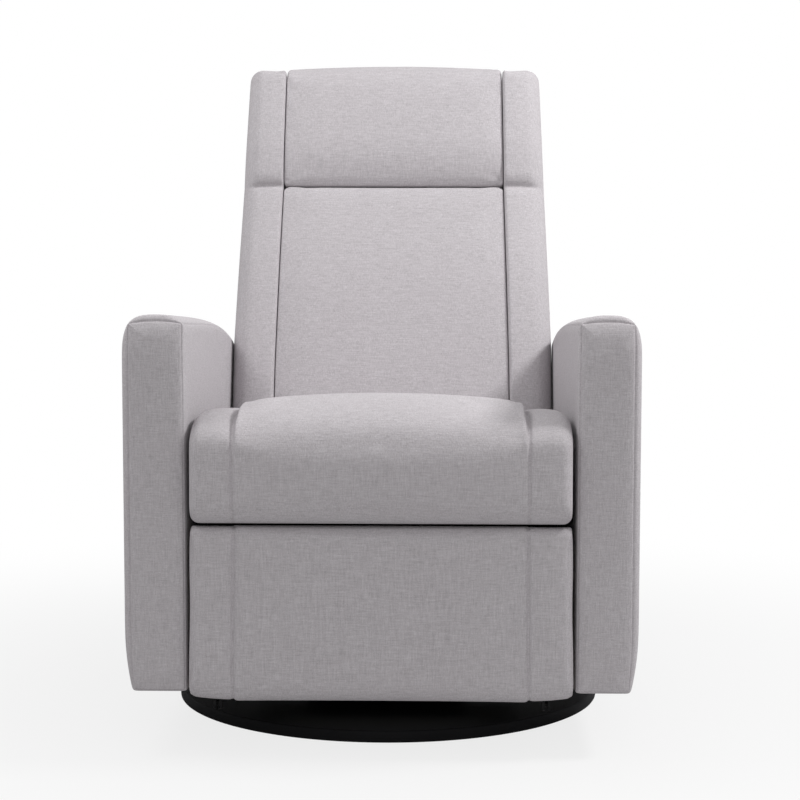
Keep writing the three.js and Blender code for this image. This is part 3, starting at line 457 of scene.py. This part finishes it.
def skin(name, rings):
    """A closed mesh over rings of points, filled at both ends."""
    count = len(rings[0])
    faces = [(r * count + i, r * count + (i + 1) % count, (r + 1) * count + (i + 1) % count,
              (r + 1) * count + i) for r in range(len(rings) - 1) for i in range(count)]
    last = (len(rings) - 1) * count
    faces += [tuple(range(count)), tuple(last + i for i in range(count))]
    mesh = bpy.data.meshes.new(name)
    mesh.from_pydata(np.concatenate(rings).tolist(), [], faces)
    piece = bpy.data.objects.new(name, mesh)
    bpy.context.scene.collection.objects.link(piece)
    activate(piece)
    bpy.ops.object.mode_set(mode="EDIT")
    bpy.ops.mesh.select_all(action="SELECT")
    bpy.ops.mesh.normals_make_consistent(inside=False)
    bpy.ops.mesh.select_all(action="DESELECT")
    bpy.ops.object.mode_set(mode="OBJECT")
    for face in mesh.polygons:
        face.select = len(face.vertices) > 4
    bpy.ops.object.mode_set(mode="EDIT")
    bpy.ops.mesh.quads_convert_to_tris(quad_method="BEAUTY", ngon_method="BEAUTY")
    bpy.ops.object.mode_set(mode="OBJECT")
    return piece


def arm_cover(name):
    """The right arm's cover, made of rings from the front panel to the rear, and which of its
    points are on the panel's seam and on the seams between the strips."""
    outline, seam, strip_edge = arm_sections()
    rings, kinds = [], []

    def add_ring(section, y, kind, top_roll=0):
        """Adds a section with its top lowered to the crest's height at that depth, and its top
        set back by up to top_roll. The inner side is pressed in at the rear, beside the back."""
        share = np.clip((y - arm_front_y) / (arm_rear_y - arm_front_y), 0, 1)
        crest = arm_crest_z - arm_crest_falls[0] * share - arm_crest_falls[1] * share ** 5
        squeeze = (crest - arm_scale_from_z) / (arm_crest_z - arm_scale_from_z)
        z = np.where(section[:, 1] > arm_scale_from_z,
                     arm_scale_from_z + (section[:, 1] - arm_scale_from_z) * squeeze, section[:, 1])
        up_roll = (section[:, 1] - arm_crest_z + arm_top_roll_below_crest) / arm_top_roll_height
        set_back = top_roll * np.clip(up_roll, 0, 1) ** 2
        inner = np.clip(-section[:, 0] / arm_half_width, 0, 1) * smooth_step(y, 0, 0.15)
        rings.append(np.column_stack([arm_centre_x + section[:, 0] - arm_rear_press * inner,
                                      y + set_back, z]))
        kinds.append(kind)

    spine = np.column_stack([np.full(len(seam), arm_seam_middle_u),
                             np.clip(seam[:, 1], *arm_panel_spine)])
    for share in (0.45, 0.7, 0.86, 0.94, 0.975):
        add_ring(spine + (seam - spine) * share, arm_front_y + arm_panel_roll * share ** 5, "panel",
                 arm_top_roll)
    seam_y = arm_front_y + arm_panel_roll + arm_seam_set_back
    add_ring(seam, seam_y, "seam", arm_top_roll)
    for share in (0.05, 0.14, 0.28, 0.46, 0.7, 1):
        add_ring(seam + (outline - seam) * (1 - (1 - share) ** 3.6),
                 seam_y + arm_front_round * share, "band", arm_top_roll * (1 - share))
    for y in np.linspace(arm_front_y + 0.045, arm_rear_y - arm_rear_round_start, 25):
        add_ring(outline, y, "band")
    for degrees in (15, 32, 50, 68, 90):
        angle = math.radians(degrees)
        inset = 1 - math.cos(angle)
        section = outline.copy()
        section[:, 0] *= 1 - arm_rear_side_round * inset / arm_half_width
        section[:, 1] -= arm_rear_top_round * inset * smooth_step(section[:, 1], 0.40, arm_crest_z)
        rear = arm_rear_y - arm_rear_round_start + arm_rear_round_depth * math.sin(angle)
        add_ring(section, rear, "band")
    spine = np.column_stack([np.zeros(len(section)), np.clip(section[:, 1], *arm_rear_spine)])
    for share in (0.93, 0.75, 0.45):
        add_ring(spine + (section - spine) * share, arm_rear_y - arm_rear_fullness * share, "rear")
    kinds = np.repeat(kinds, len(outline))
    on_strip = np.tile(strip_edge, len(rings)) & (kinds == "band")
    return skin(name, rings), kinds == "seam", on_strip


arm_right, on_panel_seam, on_strip_seam = arm_cover("arm_cover_right")
place = points(arm_right)
arm_held = (on_panel_seam | on_strip_seam | (place[:, 2] < arm_bottom_z + 0.004)
            | (place[:, 1] > arm_rear_y - 0.02))
plump(arm_right, arm_held, pressure=2.0, swell=0.0012)
sew(arm_right, np.where(on_panel_seam, 0, 1), depth=arm_seam_depth, width=0.1)
sew(arm_right, np.where(on_strip_seam, 0, 1), depth=arm_strip_seam_depth, width=0.1)
soften(arm_right)
arm_left = mirrored(arm_right, "arm_cover_left")

# Release cup: a moulded black plastic cup let into the left arm's outer face, 3.5 mm deeper than
# the chair's widest line. The release paddle is hinged at its front end.
cup_low, cup_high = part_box("release_cup")
cup_gap = 0.0004
outside_arm_x = -0.40


def cut_cup_opening(cover):
    """Cuts the hole that the cup goes into."""
    bpy.ops.object.select_all(action="DESELECT")
    bpy.ops.mesh.primitive_cube_add(size=1)
    cutter = bpy.context.object
    low = np.array([outside_arm_x, cup_low.y - cup_gap, cup_low.z - cup_gap])
    high = np.array([cup_high.x + cup_gap, cup_high.y + cup_gap, cup_high.z + cup_gap])
    set_points(cutter, np.where(points(cutter) > 0, high, low))
    hole = cover.modifiers.new("Opening", "BOOLEAN")
    hole.object = cutter
    hole.operation = "DIFFERENCE"
    hole.solver = "EXACT"
    activate(cover)
    bpy.ops.object.modifier_apply(modifier="Opening")
    bpy.data.objects.remove(cutter)


cut_cup_opening(arm_left)
for arm, side in ((arm_left, "left"), (arm_right, "right")):
    fit_out(arm, cloth, "carriage", "upholstery", f"arm_pad_{side}")

black_plastic = fine_finish("moulded_black_plastic", "262628", "19191b", 0.0007, 0.00004,
                            Roughness=0.5, Specular_IOR_Level=0.4)
dress(black_plastic, "release_cup", "release_paddle")

# Footrest linkage: flat black painted links on shoulder rivets, joined by a square drive tube.
dress(black_steel, "drive_tube", *(f"{link}_{side}" for side in ("left", "right") for link in (
    "drive_link", "cross_link", "lift_link", "guide_link", "footrest_bracket")))
dress(plywood, "footrest_board")

# Footrest panel: a foam pad on a plywood board, covered with a wide middle piece and a narrow
# piece at each end, sewn together and stapled behind the board. Covers are held at their seams,
# and along edges that are stapled or pressed against another piece.
footrest_half_width = 0.2755
footrest_seam_x = 0.212
footrest_front_y = -0.4325
footrest_back_y = -0.4024
footrest_bottom_z = 0.0822
footrest_top_z = 0.3389
footrest_end_round = 0.011
footrest_staple_round = 0.0035
footrest_low_corner_rise = 0.005
footrest_low_end_rise = 0.0016
footrest_top_end_drop = 0.001
footrest_low_spread = 0.0115
footrest_end_set_back = 0.003
seam_hold = 0.0006


def rounded_rectangle(a0, a1, b0, b1, corners, step):
    """The outline of a rectangle with elliptical corners, counterclockwise from its low corner.
    corners holds the two radii of each: low a low b, high a low b, high a high b, low a high b."""
    places = []
    signs = ((-1, -1, 180), (1, -1, 270), (1, 1, 0), (-1, 1, 90))
    for (sign_a, sign_b, start), (ra, rb) in zip(signs, corners):
        centre_a = (a0 + ra) if sign_a < 0 else (a1 - ra)
        centre_b = (b0 + rb) if sign_b < 0 else (b1 - rb)
        for angle in np.radians(start + np.linspace(0, 90, 8)):
            places.append((centre_a + ra * math.cos(angle), centre_b + rb * math.sin(angle)))
    full = []
    for here, after in zip(places, places[1:] + places[:1]):
        pieces = max(1, round(math.dist(here, after) / step))
        full += [tuple(np.array(here) + (np.array(after) - here) * k / pieces)
                 for k in range(pieces)]
    return np.array(full)


def seam_lines(seams, low, high, step):
    """Places of rings from low to high: even steps, and close together at each seam."""
    beside_seam = (-0.007, -0.0035, -0.0015, 0, 0.0015, 0.0035, 0.007)
    lines = [seam + d for seam in seams for d in beside_seam]
    for place in np.linspace(low, high, max(2, round((high - low) / step)) + 1):
        if min((abs(place - line) for line in lines), default=1) > 0.4 * step:
            lines.append(float(place))
    return sorted(lines)


def sewn_form(name, outline, ends, rounds, lines, order=(0, 1, 2)):
    """A padded form: its outline runs from one end to the other through the given lines, and rolls
    inwards at both ends by the rounds. order puts (along, a, b) onto the axes."""
    count = len(outline)
    ahead = np.roll(outline, -1, axis=0) - np.roll(outline, 1, axis=0)
    outward = np.column_stack([ahead[:, 1], -ahead[:, 0]])
    outward /= np.linalg.norm(outward, axis=1, keepdims=True)
    low, high = (np.broadcast_to(end, count) for end in ends)
    round_low, round_high = (np.broadcast_to(value, count) for value in rounds)
    rings = []

    def add_ring(along, inset, shrink=1.0):
        """Adds the outline at a place along the form, drawn in by an inset and shrunk."""
        section = outline - outward * np.asarray(inset, float).reshape(-1, 1)
        middle = section.mean(axis=0)
        section = middle + (section - middle) * shrink
        ring = np.column_stack([np.broadcast_to(along, count), section])
        rings.append(ring[:, np.argsort(order)] if order != (0, 1, 2) else ring)

    for shrink in (0.4, 0.7, 0.88, 0.96):
        add_ring(low, round_low, shrink)
    for angle in np.radians((90, 75, 60, 45, 30, 15)):
        add_ring(low + round_low * (1 - math.sin(angle)), round_low * (1 - math.cos(angle)))
    flat_low, flat_high = low + round_low, high - round_high
    for share in (0, 1 / 3, 2 / 3):
        add_ring(flat_low + (lines[0] - flat_low) * share, 0)
    for line in lines:
        add_ring(line, 0)
    for share in (1 / 3, 2 / 3, 1):
        add_ring(lines[-1] + (flat_high - lines[-1]) * share, 0)
    for angle in np.radians((15, 30, 45, 60, 75, 90)):
        add_ring(high - round_high * (1 - math.sin(angle)), round_high * (1 - math.cos(angle)))
    for shrink in (0.96, 0.88, 0.7, 0.4):
        add_ring(high, round_high, shrink)
    return skin(name, rings)


footrest_outline = rounded_rectangle(
    footrest_front_y, footrest_back_y, footrest_bottom_z, footrest_top_z,
    ((0.017, 0.028), (0.004, 0.004), (0.004, 0.004), (0.012, 0.012)), step=0.013)
footrest_round = np.where(footrest_outline[:, 0] < footrest_back_y - 0.006,
                          footrest_end_round, footrest_staple_round)
footrest = sewn_form(
    "footrest_cover", footrest_outline, (-footrest_half_width, footrest_half_width),
    (footrest_round, footrest_round), seam_lines(
        (-footrest_seam_x, footrest_seam_x), -footrest_seam_x - 0.012, footrest_seam_x + 0.012,
        step=0.015))
place = points(footrest)
x_from_middle = np.abs(place[:, 0])
seam_distance = np.abs(x_from_middle - footrest_seam_x)
front = smooth_step(-place[:, 1], -footrest_back_y, -footrest_front_y)
low_share = (footrest_top_z - place[:, 2]) / (footrest_top_z - footrest_bottom_z)
past_seam = np.maximum(0, x_from_middle - footrest_seam_x)
end_share = past_seam / (footrest_half_width - footrest_seam_x)
on_end_piece = end_share > 0
shaped = place.copy()
end_rise = footrest_low_corner_rise * end_share ** 2 + footrest_low_end_rise * on_end_piece
end_drop = (1 - low_share) ** 6 * footrest_top_end_drop * on_end_piece
shaped[:, 2] += low_share ** 6 * end_rise - end_drop
shaped[:, 0] *= 1 + footrest_low_spread * np.clip(low_share, 0, 1) ** 1.2
shaped[:, 1] += front * (footrest_end_set_back * (x_from_middle / footrest_half_width) ** 2)
set_points(footrest, shaped)
footrest_held = (place[:, 1] > footrest_back_y - 0.012) | (seam_distance < seam_hold)
plump(footrest, footrest_held, pressure=3, swell=0.004)
sew(footrest, np.where(place[:, 1] < footrest_back_y - 0.004, seam_distance, 1),
    depth=0.0032, width=0.0022)
soften(footrest)
fit_out(footrest, cloth, "footrest", "upholstery", "footrest_pad")

# Seat frame: two black steel rails that slide on the tracks, two square tubes between them, and
# a deck of woven webbing under the cushion.
dress(black_steel, "seat_rail_left", "seat_rail_right", "seat_tube_front", "seat_tube_rear")


def woven_webbing():
    """Elastic seat webbing: dark brown grey bands 50 mm wide with a coarse rib."""
    material, shader, place = new_material("elastic_webbing", Roughness=0.85)
    wave_at_scale_one, band_width, rib_width = 0.314, 0.05, 0.003
    band = add_node(material, "ShaderNodeTexWave", {
        "Vector": place, "Scale": wave_at_scale_one / band_width, "Distortion": 0.1},
        bands_direction="Y")
    rib = add_node(material, "ShaderNodeTexWave", {
        "Vector": place, "Scale": wave_at_scale_one / rib_width}, bands_direction="X")
    tone = blend_colours(material, band.outputs["Fac"], srgb("2d2a27"), srgb("57514a"))
    link_look(material, shader, tone, rib.outputs["Fac"], strength=0.5, relief=0.0006)
    return material


dress(woven_webbing(), "seat_deck")

# Seat cushion: foam with a cloth cover of a raised middle panel and two lower side bolsters, sewn
# together, that rolls over the front in one wide curve and is fixed under the deck. The cushion
# slopes down to the rear, and its rear end leans with the back.
seat_half_width = 0.275
seat_seam_x = 0.213
seat_front_y = -0.4465
seat_rear_y = 0.192
seat_bottom_z = 0.3430
seat_top_z = 0.5175
seat_rear_edge_z = 0.517
seat_slope = 0.100
seat_slope_from_y = -0.31
seat_crown = 0.0122
seat_seam_rise = 0.0080
seat_seam_rise_width = 0.013
seat_crown_at_seam = 0.0042
seat_shoulder = 0.008
seat_bolster_drop = 0.023
seat_bolster_fullness = 0.0045
seat_bolster_set_back = 0.001
seat_corner_set_back = 0.005
seat_low_end_round = 0.013
seat_end_round_growth = 0.004
seat_reach_beside_pads = 0.003
seat_reach_to_wings = 0.008
seat_swell_at_seam = 0.0022
seat_middle_swell = 0.0038
seat_bolster_swell = 0.0026
back_lean = math.radians(17.7)
back_foot = Vector((0, 0.180, 0.474))
head_seam_v = 0.3867

seat_outline = rounded_rectangle(
    seat_front_y, seat_rear_y, seat_bottom_z, seat_top_z,
    ((0.032, 0.038), (0.015, 0.015), (0.010, 0.010), (0.094, 0.053)), step=0.015)
up_front = smooth_step(seat_outline[:, 1], seat_bottom_z, seat_bottom_z + 0.05)
seat_round = seat_low_end_round + seat_end_round_growth * up_front
seat_round *= 1 - 0.5 * smooth_step(seat_outline[:, 0], 0.10, 0.17)
shoulder_lines = [sign * (seat_seam_x - d) for sign in (-1, 1) for d in (0.0052, 0.009, 0.0125)]
seat = sewn_form(
    "seat_cushion_cover", seat_outline, (-seat_half_width, seat_half_width),
    (seat_round, seat_round), sorted(shoulder_lines + seam_lines(
        (-seat_seam_x, seat_seam_x), -seat_seam_x - 0.009, seat_seam_x + 0.009, step=0.015)))
place = points(seat)
x_from_middle = np.abs(place[:, 0])
shaped = place.copy()
height_share = np.clip((place[:, 2] - seat_bottom_z) / (seat_top_z - seat_bottom_z), 0, 1)
shoulder = np.clip((x_from_middle - seat_seam_x + seat_shoulder) / seat_shoulder, 0, 1)
fall = 1 - np.sqrt(1 - shoulder ** 2)
bolster = np.clip((x_from_middle - seat_seam_x) / (seat_half_width - seat_seam_x), 0, 1)
from_seam = np.maximum(0, seat_seam_x - x_from_middle)
crown = (seat_crown * np.clip(x_from_middle / seat_seam_x, 0, 1) ** 2
         - seat_seam_rise * np.exp(-from_seam / seat_seam_rise_width))
slope = seat_slope * np.maximum(0, place[:, 1] - seat_slope_from_y)
fullness = seat_bolster_fullness * np.sin(np.pi * bolster)
step = (seat_bolster_drop - seat_crown_at_seam) * fall
shaped[:, 2] -= (slope + crown - fullness) * height_share + step * height_share ** 3
forward = smooth_step(-place[:, 1], 0.30, 0.42)
set_back = (seat_bolster_set_back * fall
            + seat_corner_set_back * (x_from_middle / seat_half_width) ** 2)
shaped[:, 1] += forward * height_share * set_back
lean_back = smooth_step(place[:, 1], -0.1, seat_rear_y)
shaped[:, 1] -= (seat_rear_edge_z - shaped[:, 2]) * math.tan(back_lean) * lean_back
to_wing = (seat_reach_beside_pads * smooth_step(x_from_middle, 0.200, 0.215)
           + seat_reach_to_wings * bolster)
shaped[:, 1] += to_wing * smooth_step(place[:, 1], 0.15, seat_rear_y)
set_points(seat, shaped)
seam_distance = np.abs(x_from_middle - seat_seam_x)
seat_held = ((place[:, 2] < seat_bottom_z + 0.004) | (place[:, 1] > seat_rear_y - 0.03)
             | (x_from_middle > seat_half_width - 0.002) | (seam_distance < seam_hold))
in_middle = x_from_middle < seat_seam_x
full_at = np.where(in_middle, 0.020, 0.034)
seat_swell = np.where(in_middle, seat_middle_swell, seat_bolster_swell)
seat_swell = seat_swell_at_seam + seat_swell * smooth_step(seam_distance, 0.003, full_at)
plump(seat, seat_held, pressure=4, swell=seat_swell)
sew(seat, np.where(place[:, 2] > seat_bottom_z + 0.002, seam_distance, 1),
    depth=0.0029, width=0.0019)
soften(seat)
fit_out(seat, cloth, "seat", "upholstery", "seat_cushion")

# Back frame: two wooden posts joined by a lower and an upper rail, all inside the covers.
# Zinc plated brackets screwed to the posts turn on the seat rails.
dress(plywood, "back_post_left", "back_post_right", "back_rail_lower", "back_rail_upper")
dress(zinc_plate, "recline_bracket_left", "recline_bracket_right")

# Back covers are shaped upright, with y as depth from the front face and z, also called v, up the
# back, and then leaned back with the frame that they are fixed to.
pad_front_depth = 0.058
pad_widest = 0.203
pad_set_back = 0.003
pad_edge_roll = 0.004


def lean(piece):
    """Leans a piece that was shaped upright, and puts it on the back's foot."""
    piece.data.transform(Matrix.Translation(back_foot) @ Matrix.Rotation(-back_lean, 4, "X"))


def pad_half_width(v):
    """The half width of the middle pads, which narrow a little towards the top."""
    return np.interp(v, (-0.06, 0.06, 0.38, 0.62), (0.2035, 0.2026, 0.1950, 0.1920))


def back_profile(v):
    """How far the front of the back is set back at a height: each half bulges in the middle, so
    that the covers meet in a hollow at the head seam. The lower half is straight, bends, and then
    falls back evenly; the upper half rises out of the hollow and rolls back at the top."""
    v = np.asarray(v, float)
    bend_from, bend_length, straight_from, lower_slope = 0.15, 0.15, 0.30, 0.105
    rise = np.clip((v - bend_from) / bend_length, 0, 1)
    bend = bend_length * (rise ** 3 - rise ** 4 / 2)
    lower = lower_slope * (bend + np.maximum(0, v - straight_from))
    top, hollow, hollow_share = 0.620, 0.017, 0.36
    roll, roll_from, roll_share = 0.007, 0.55, 0.45
    share = np.clip((v - head_seam_v) / (top - head_seam_v), 0, 1)
    upper = (hollow * np.clip(1 - share / hollow_share, 0, 1) ** 2
             + roll * np.clip((share - roll_from) / roll_share, 0, 1) ** 3)
    return np.where(v < head_seam_v, lower, upper)


# Lower back pad: foam on the frame, covered with one wide panel, rounded where it is sewn in.
lower_pad_bottom, lower_pad_top = -0.060, head_seam_v
lower_pad_middle, lower_pad_half_height = 0.16, 0.222
lower_pad_corner_drop = 0.0045
lower_outline = rounded_rectangle(
    0, pad_front_depth, lower_pad_bottom, lower_pad_top,
    ((0.010, 0.012), (0.006, 0.006), (0.006, 0.006), (0.006, 0.0055)), step=0.014)
lower_half = pad_half_width(lower_outline[:, 1])
lower_pad = sewn_form("back_pad_cover", lower_outline, (-lower_half, lower_half), (0.0055, 0.0055),
                      seam_lines((), -0.185, 0.185, step=0.015))
place = points(lower_pad)
x_from_middle = np.abs(place[:, 0])
shaped = place.copy()
front = np.clip(1 - place[:, 1] / pad_front_depth, 0, 1)
up_edge = np.clip(np.abs(place[:, 2] - lower_pad_middle) / lower_pad_half_height, 0, 1)
edge = np.maximum(x_from_middle / pad_widest, up_edge)
shaped[:, 1] += front * (pad_set_back + back_profile(place[:, 2]) + pad_edge_roll * edge ** 3)
corner = smooth_step(x_from_middle - pad_half_width(place[:, 2]), -0.020, 0)
near_top = smooth_step(place[:, 2], 0.36, lower_pad_top)
shaped[:, 2] -= lower_pad_corner_drop * corner ** 2 * near_top
set_points(lower_pad, shaped)
on_side = x_from_middle > pad_half_width(place[:, 2]) - 0.001
plump(lower_pad, (place[:, 1] > 0.012) | on_side, pressure=3.0, swell=0.005)
soften(lower_pad)
lean(lower_pad)
fit_out(lower_pad, cloth, "back", "upholstery", "back_lower_pad")

# Head pad: a fuller foam pad above the lower one. Its cover rolls under at the seam between them
# and runs over the top of the frame to the outside back.
head_bottom, head_top = head_seam_v + 0.0005, 0.6172
head_depth = 0.089
head_corner_drop = 0.0075
head_outline = rounded_rectangle(
    0, head_depth, head_bottom, head_top,
    ((0.013, 0.014), (0.010, 0.010), (0.030, 0.022), (0.044, 0.030)), step=0.013)
head_half = pad_half_width(head_outline[:, 1])
head_pad = sewn_form("head_pad_cover", head_outline, (-head_half, head_half), (0.006, 0.006),
                     seam_lines((), -0.180, 0.180, step=0.015))
place = points(head_pad)
x_from_middle = np.abs(place[:, 0])
shaped = place.copy()
front = np.clip(1 - place[:, 1] / pad_front_depth, 0, 1)
edge = x_from_middle / pad_widest
up_share = np.clip((place[:, 2] - head_bottom) / (head_top - head_bottom), 0, 1)
shaped[:, 1] += front * (pad_set_back + back_profile(place[:, 2]) + pad_edge_roll * edge ** 4)
shaped[:, 2] -= head_corner_drop * up_share ** 4 * edge ** 2
set_points(head_pad, shaped)
on_side = x_from_middle > pad_half_width(place[:, 2]) - 0.001
head_held = (place[:, 1] > 0.05) | (place[:, 2] < head_bottom + 0.0004) | on_side
plump(head_pad, head_held, pressure=3.4, swell=0.006)
soften(head_pad)
lean(head_pad)
fit_out(head_pad, cloth, "back", "upholstery", "head_pad")

# Side wings: foam rolls round the posts. The cover goes from the seam beside the pads, round the
# outer edge, to the outside back, and is tucked in and tied down at the height of the head seam.
wing_bottom, wing_top = -0.057, 0.606
wing_inner_x, wing_outer_x = 0.2045, 0.2785
wing_depth = 0.090
wing_inner_round, wing_outer_round_growth = 0.0045, 0.0145
wing_inner_top_drop, wing_top_rise = 0.009, 0.0095
wing_set_back, wing_outer_set_back = 0.002, 0.012
gap_beside_pads = 0.0012
tuck_height = head_seam_v - 0.0025
tuck_depth, tuck_below, tuck_above = 0.0052, 0.0046, 0.0056
roll_above_tuck, roll_height, roll_fullness = 0.020, 0.016, 0.0030


def wing_outer(v):
    """The half width of the back over the wings, which taper towards the top."""
    return np.interp(v, (0, 0.10, 0.19, 0.55, 0.61), (0.2788, 0.2786, 0.2754, 0.2622, 0.2600))


def make_wing():
    """The right wing's cover."""
    outline = rounded_rectangle(
        wing_inner_x, wing_outer_x, 0, wing_depth,
        ((0.006, 0.007), (0.028, 0.034), (0.012, 0.012), (0.005, 0.005)), step=0.009)
    outside = smooth_step(outline[:, 0], wing_inner_x, wing_inner_x + 0.02)
    outside *= 1 - 0.75 * smooth_step(outline[:, 1], 0.035, 0.070)
    top_round = wing_inner_round + wing_outer_round_growth * outside
    piece = sewn_form(
        "back_wing_cover_right", outline, (wing_bottom, wing_top), (0.005, top_round),
        seam_lines((tuck_height, tuck_height + 0.016), 0.02, wing_top - 0.045, step=0.015),
        order=(2, 0, 1))
    place = points(piece)
    across = np.clip((place[:, 0] - wing_inner_x) / (wing_outer_x - wing_inner_x), 0, 1)
    inner = pad_half_width(place[:, 2]) + gap_beside_pads
    shaped = place.copy()
    shaped[:, 0] = inner + across * (wing_outer(place[:, 2]) - inner)
    top_slope = wing_top_rise * across ** 0.6 - wing_inner_top_drop
    shaped[:, 2] += smooth_step(place[:, 2], 0.45, wing_top) * top_slope
    front = np.clip(1 - place[:, 1] / wing_depth, 0, 1)
    set_back = wing_set_back + wing_outer_set_back * across ** 2.2
    shaped[:, 1] += front * (set_back + back_profile(place[:, 2]))
    set_points(piece, shaped)
    above = place[:, 2] - tuck_height
    fade = 1 - smooth_step(across, 0.62, 0.95)
    on_front = place[:, 1] < 0.03
    tied = on_front & (np.abs(above) < 0.001) & (across < 0.75)
    # Beside the arm the wing is pressed flat, so it hardly swells there.
    beside_arm = smooth_step(across, 0.8, 0.95) * smooth_step(-place[:, 2], -0.24, -0.16)
    plump(piece, (place[:, 1] > 0.045) | tied | (across < 0.02), pressure=3.2,
          swell=0.005 - 0.0045 * beside_arm)
    shaped = points(piece)
    pinch = tuck_depth * np.where(above < 0, bell(above, tuck_below), bell(above, tuck_above))
    roll = roll_fullness * bell(above - roll_above_tuck, roll_height)
    shaped[:, 1] += np.where(place[:, 1] < 0.06, front * fade * (pinch - roll), 0)
    set_points(piece, shaped)
    soften(piece)
    lean(piece)
    return piece


wing_right = make_wing()
wing_left = mirrored(wing_right, "back_wing_cover_left")
for wing, side in ((wing_left, "left"), (wing_right, "right")):
    fit_out(wing, cloth, "back", "upholstery", f"back_wing_{side}")

# Outside back: a thin padded panel that closes the back behind, stapled at the bottom rail and
# sewn blind along the sides and the top.
outside_bottom, outside_top = -0.140, 0.586
outside_half = 0.267
outside_side_inset = 0.008
outside_depth, outside_thickness = 0.0903, 0.012
outside_foot_fullness, outside_fullness = 0.014, 0.004
outside_outline = rounded_rectangle(
    outside_depth, outside_depth + outside_thickness, outside_bottom, outside_top,
    ((0.0055, 0.006),) * 4, step=0.018)
outside_back = sewn_form("outside_back_cover", outside_outline, (-outside_half, outside_half),
                         (0.005, 0.005), seam_lines((), -0.245, 0.245, step=0.02))
place = points(outside_back)
shaped = place.copy()
shaped[:, 0] *= (wing_outer(place[:, 2]) - outside_side_inset) / outside_half
rear = np.clip((place[:, 1] - outside_depth) / outside_thickness, 0, 1)
foot = (outside_top - place[:, 2]) / (outside_top - outside_bottom)
swell = (1 - (np.abs(place[:, 0]) / outside_half) ** 4) * (1 - np.abs(2 * foot - 1) ** 6)
shaped[:, 1] += rear * (outside_foot_fullness * foot + outside_fullness * swell)
set_points(outside_back, shaped)
soften(outside_back)
lean(outside_back)
fit_out(outside_back, cloth, "back", "upholstery", "outside_back")

# Floor: a pale seamless studio floor. Most of what the camera sees of it is a plain white glow,
# all of it far from the chair, so that it runs into the white background; the rest takes the
# chair's shadow.
bpy.ops.object.select_all(action="DESELECT")
bpy.ops.mesh.primitive_plane_add(size=24, location=(0, 0, 0))
floor = bpy.context.object
floor.name = "studio_floor"
floor_material, floor_shader, floor_place = new_material("white_studio_floor", Roughness=0.9,
                                                         Specular_IOR_Level=0.0)
floor_shader.inputs["Base Color"].default_value = srgb("c6c6c6")
glow = add_node(floor_material, "ShaderNodeEmission", {"Color": (1, 1, 1, 1), "Strength": 1.0})
seen = add_node(floor_material, "ShaderNodeLightPath")
away = add_node(floor_material, "ShaderNodeVectorMath", {0: floor_place}, operation="LENGTH")
fade = add_node(floor_material, "ShaderNodeMapRange", {
    "Value": away.outputs["Value"], "From Min": 0.34, "From Max": 1.7,
    "To Min": 0.80, "To Max": 1.0}, interpolation_type="SMOOTHSTEP")
share = add_node(floor_material, "ShaderNodeMath", {
    0: seen.outputs["Is Camera Ray"], 1: fade.outputs[0]}, operation="MULTIPLY")
blend = add_node(floor_material, "ShaderNodeMixShader", {
    0: share.outputs[0], 1: floor_shader.outputs[0], 2: glow.outputs[0]})
floor_material.node_tree.links.new(
    blend.outputs[0], floor_material.node_tree.nodes["Material Output"].inputs["Surface"])
floor.data.materials.append(floor_material)

# World: white where the camera looks straight at it, and a softer even light on the chair.
world = bpy.data.worlds.new("studio")
bpy.context.scene.world = world
world.use_nodes = True
sky = world.node_tree.nodes["Background"]
sky.inputs["Color"].default_value = (1, 1, 1, 1)
ray = world.node_tree.nodes.new("ShaderNodeLightPath")
sky_share = world.node_tree.nodes.new("ShaderNodeMapRange")
sky_share.inputs["To Min"].default_value = 0.565
sky_share.inputs["To Max"].default_value = 1.0
world.node_tree.links.new(ray.outputs["Is Camera Ray"], sky_share.inputs["Value"])
world.node_tree.links.new(sky_share.outputs[0], sky.inputs["Strength"])


# Lamps: one soft lamp high on the right, a weaker one on the left and a faint one in front.
def add_lamp(name, place, size, power):
    """A square lamp that faces the middle of the chair."""
    lamp = bpy.data.objects.new(name, bpy.data.lights.new(name, "AREA"))
    lamp.data.size = size
    lamp.data.energy = power
    lamp.location = place
    towards = Vector((0, 0, 0.55)) - Vector(place)
    lamp.rotation_euler = towards.to_track_quat("-Z", "Y").to_euler()
    bpy.context.scene.collection.objects.link(lamp)


add_lamp("key_lamp", (1.45, -0.30, 1.9), 0.4, 27.5)
add_lamp("fill_lamp", (-0.9, -0.3, 1.6), 0.6, 6.7)
add_lamp("front_lamp", (0.2, -2.6, 1.3), 0.8, 5)

# Camera: about 3.3 m in front of the chair and 0.8 m up, looking down about 5.4 degrees.
focal_pixels, picture_pixels, sensor_width = 2036, 800, 36
camera = bpy.data.objects.new("camera", bpy.data.cameras.new("camera"))
camera.data.sensor_width = sensor_width
camera.data.lens = focal_pixels / picture_pixels * sensor_width
camera.location = (0.088, -3.318, 0.799)
camera.rotation_euler = (math.radians(90 - 5.44), math.radians(-0.07), math.radians(1.203))
bpy.context.scene.collection.objects.link(camera)
bpy.context.scene.camera = camera
bpy.context.scene.view_settings.view_transform = "Standard"
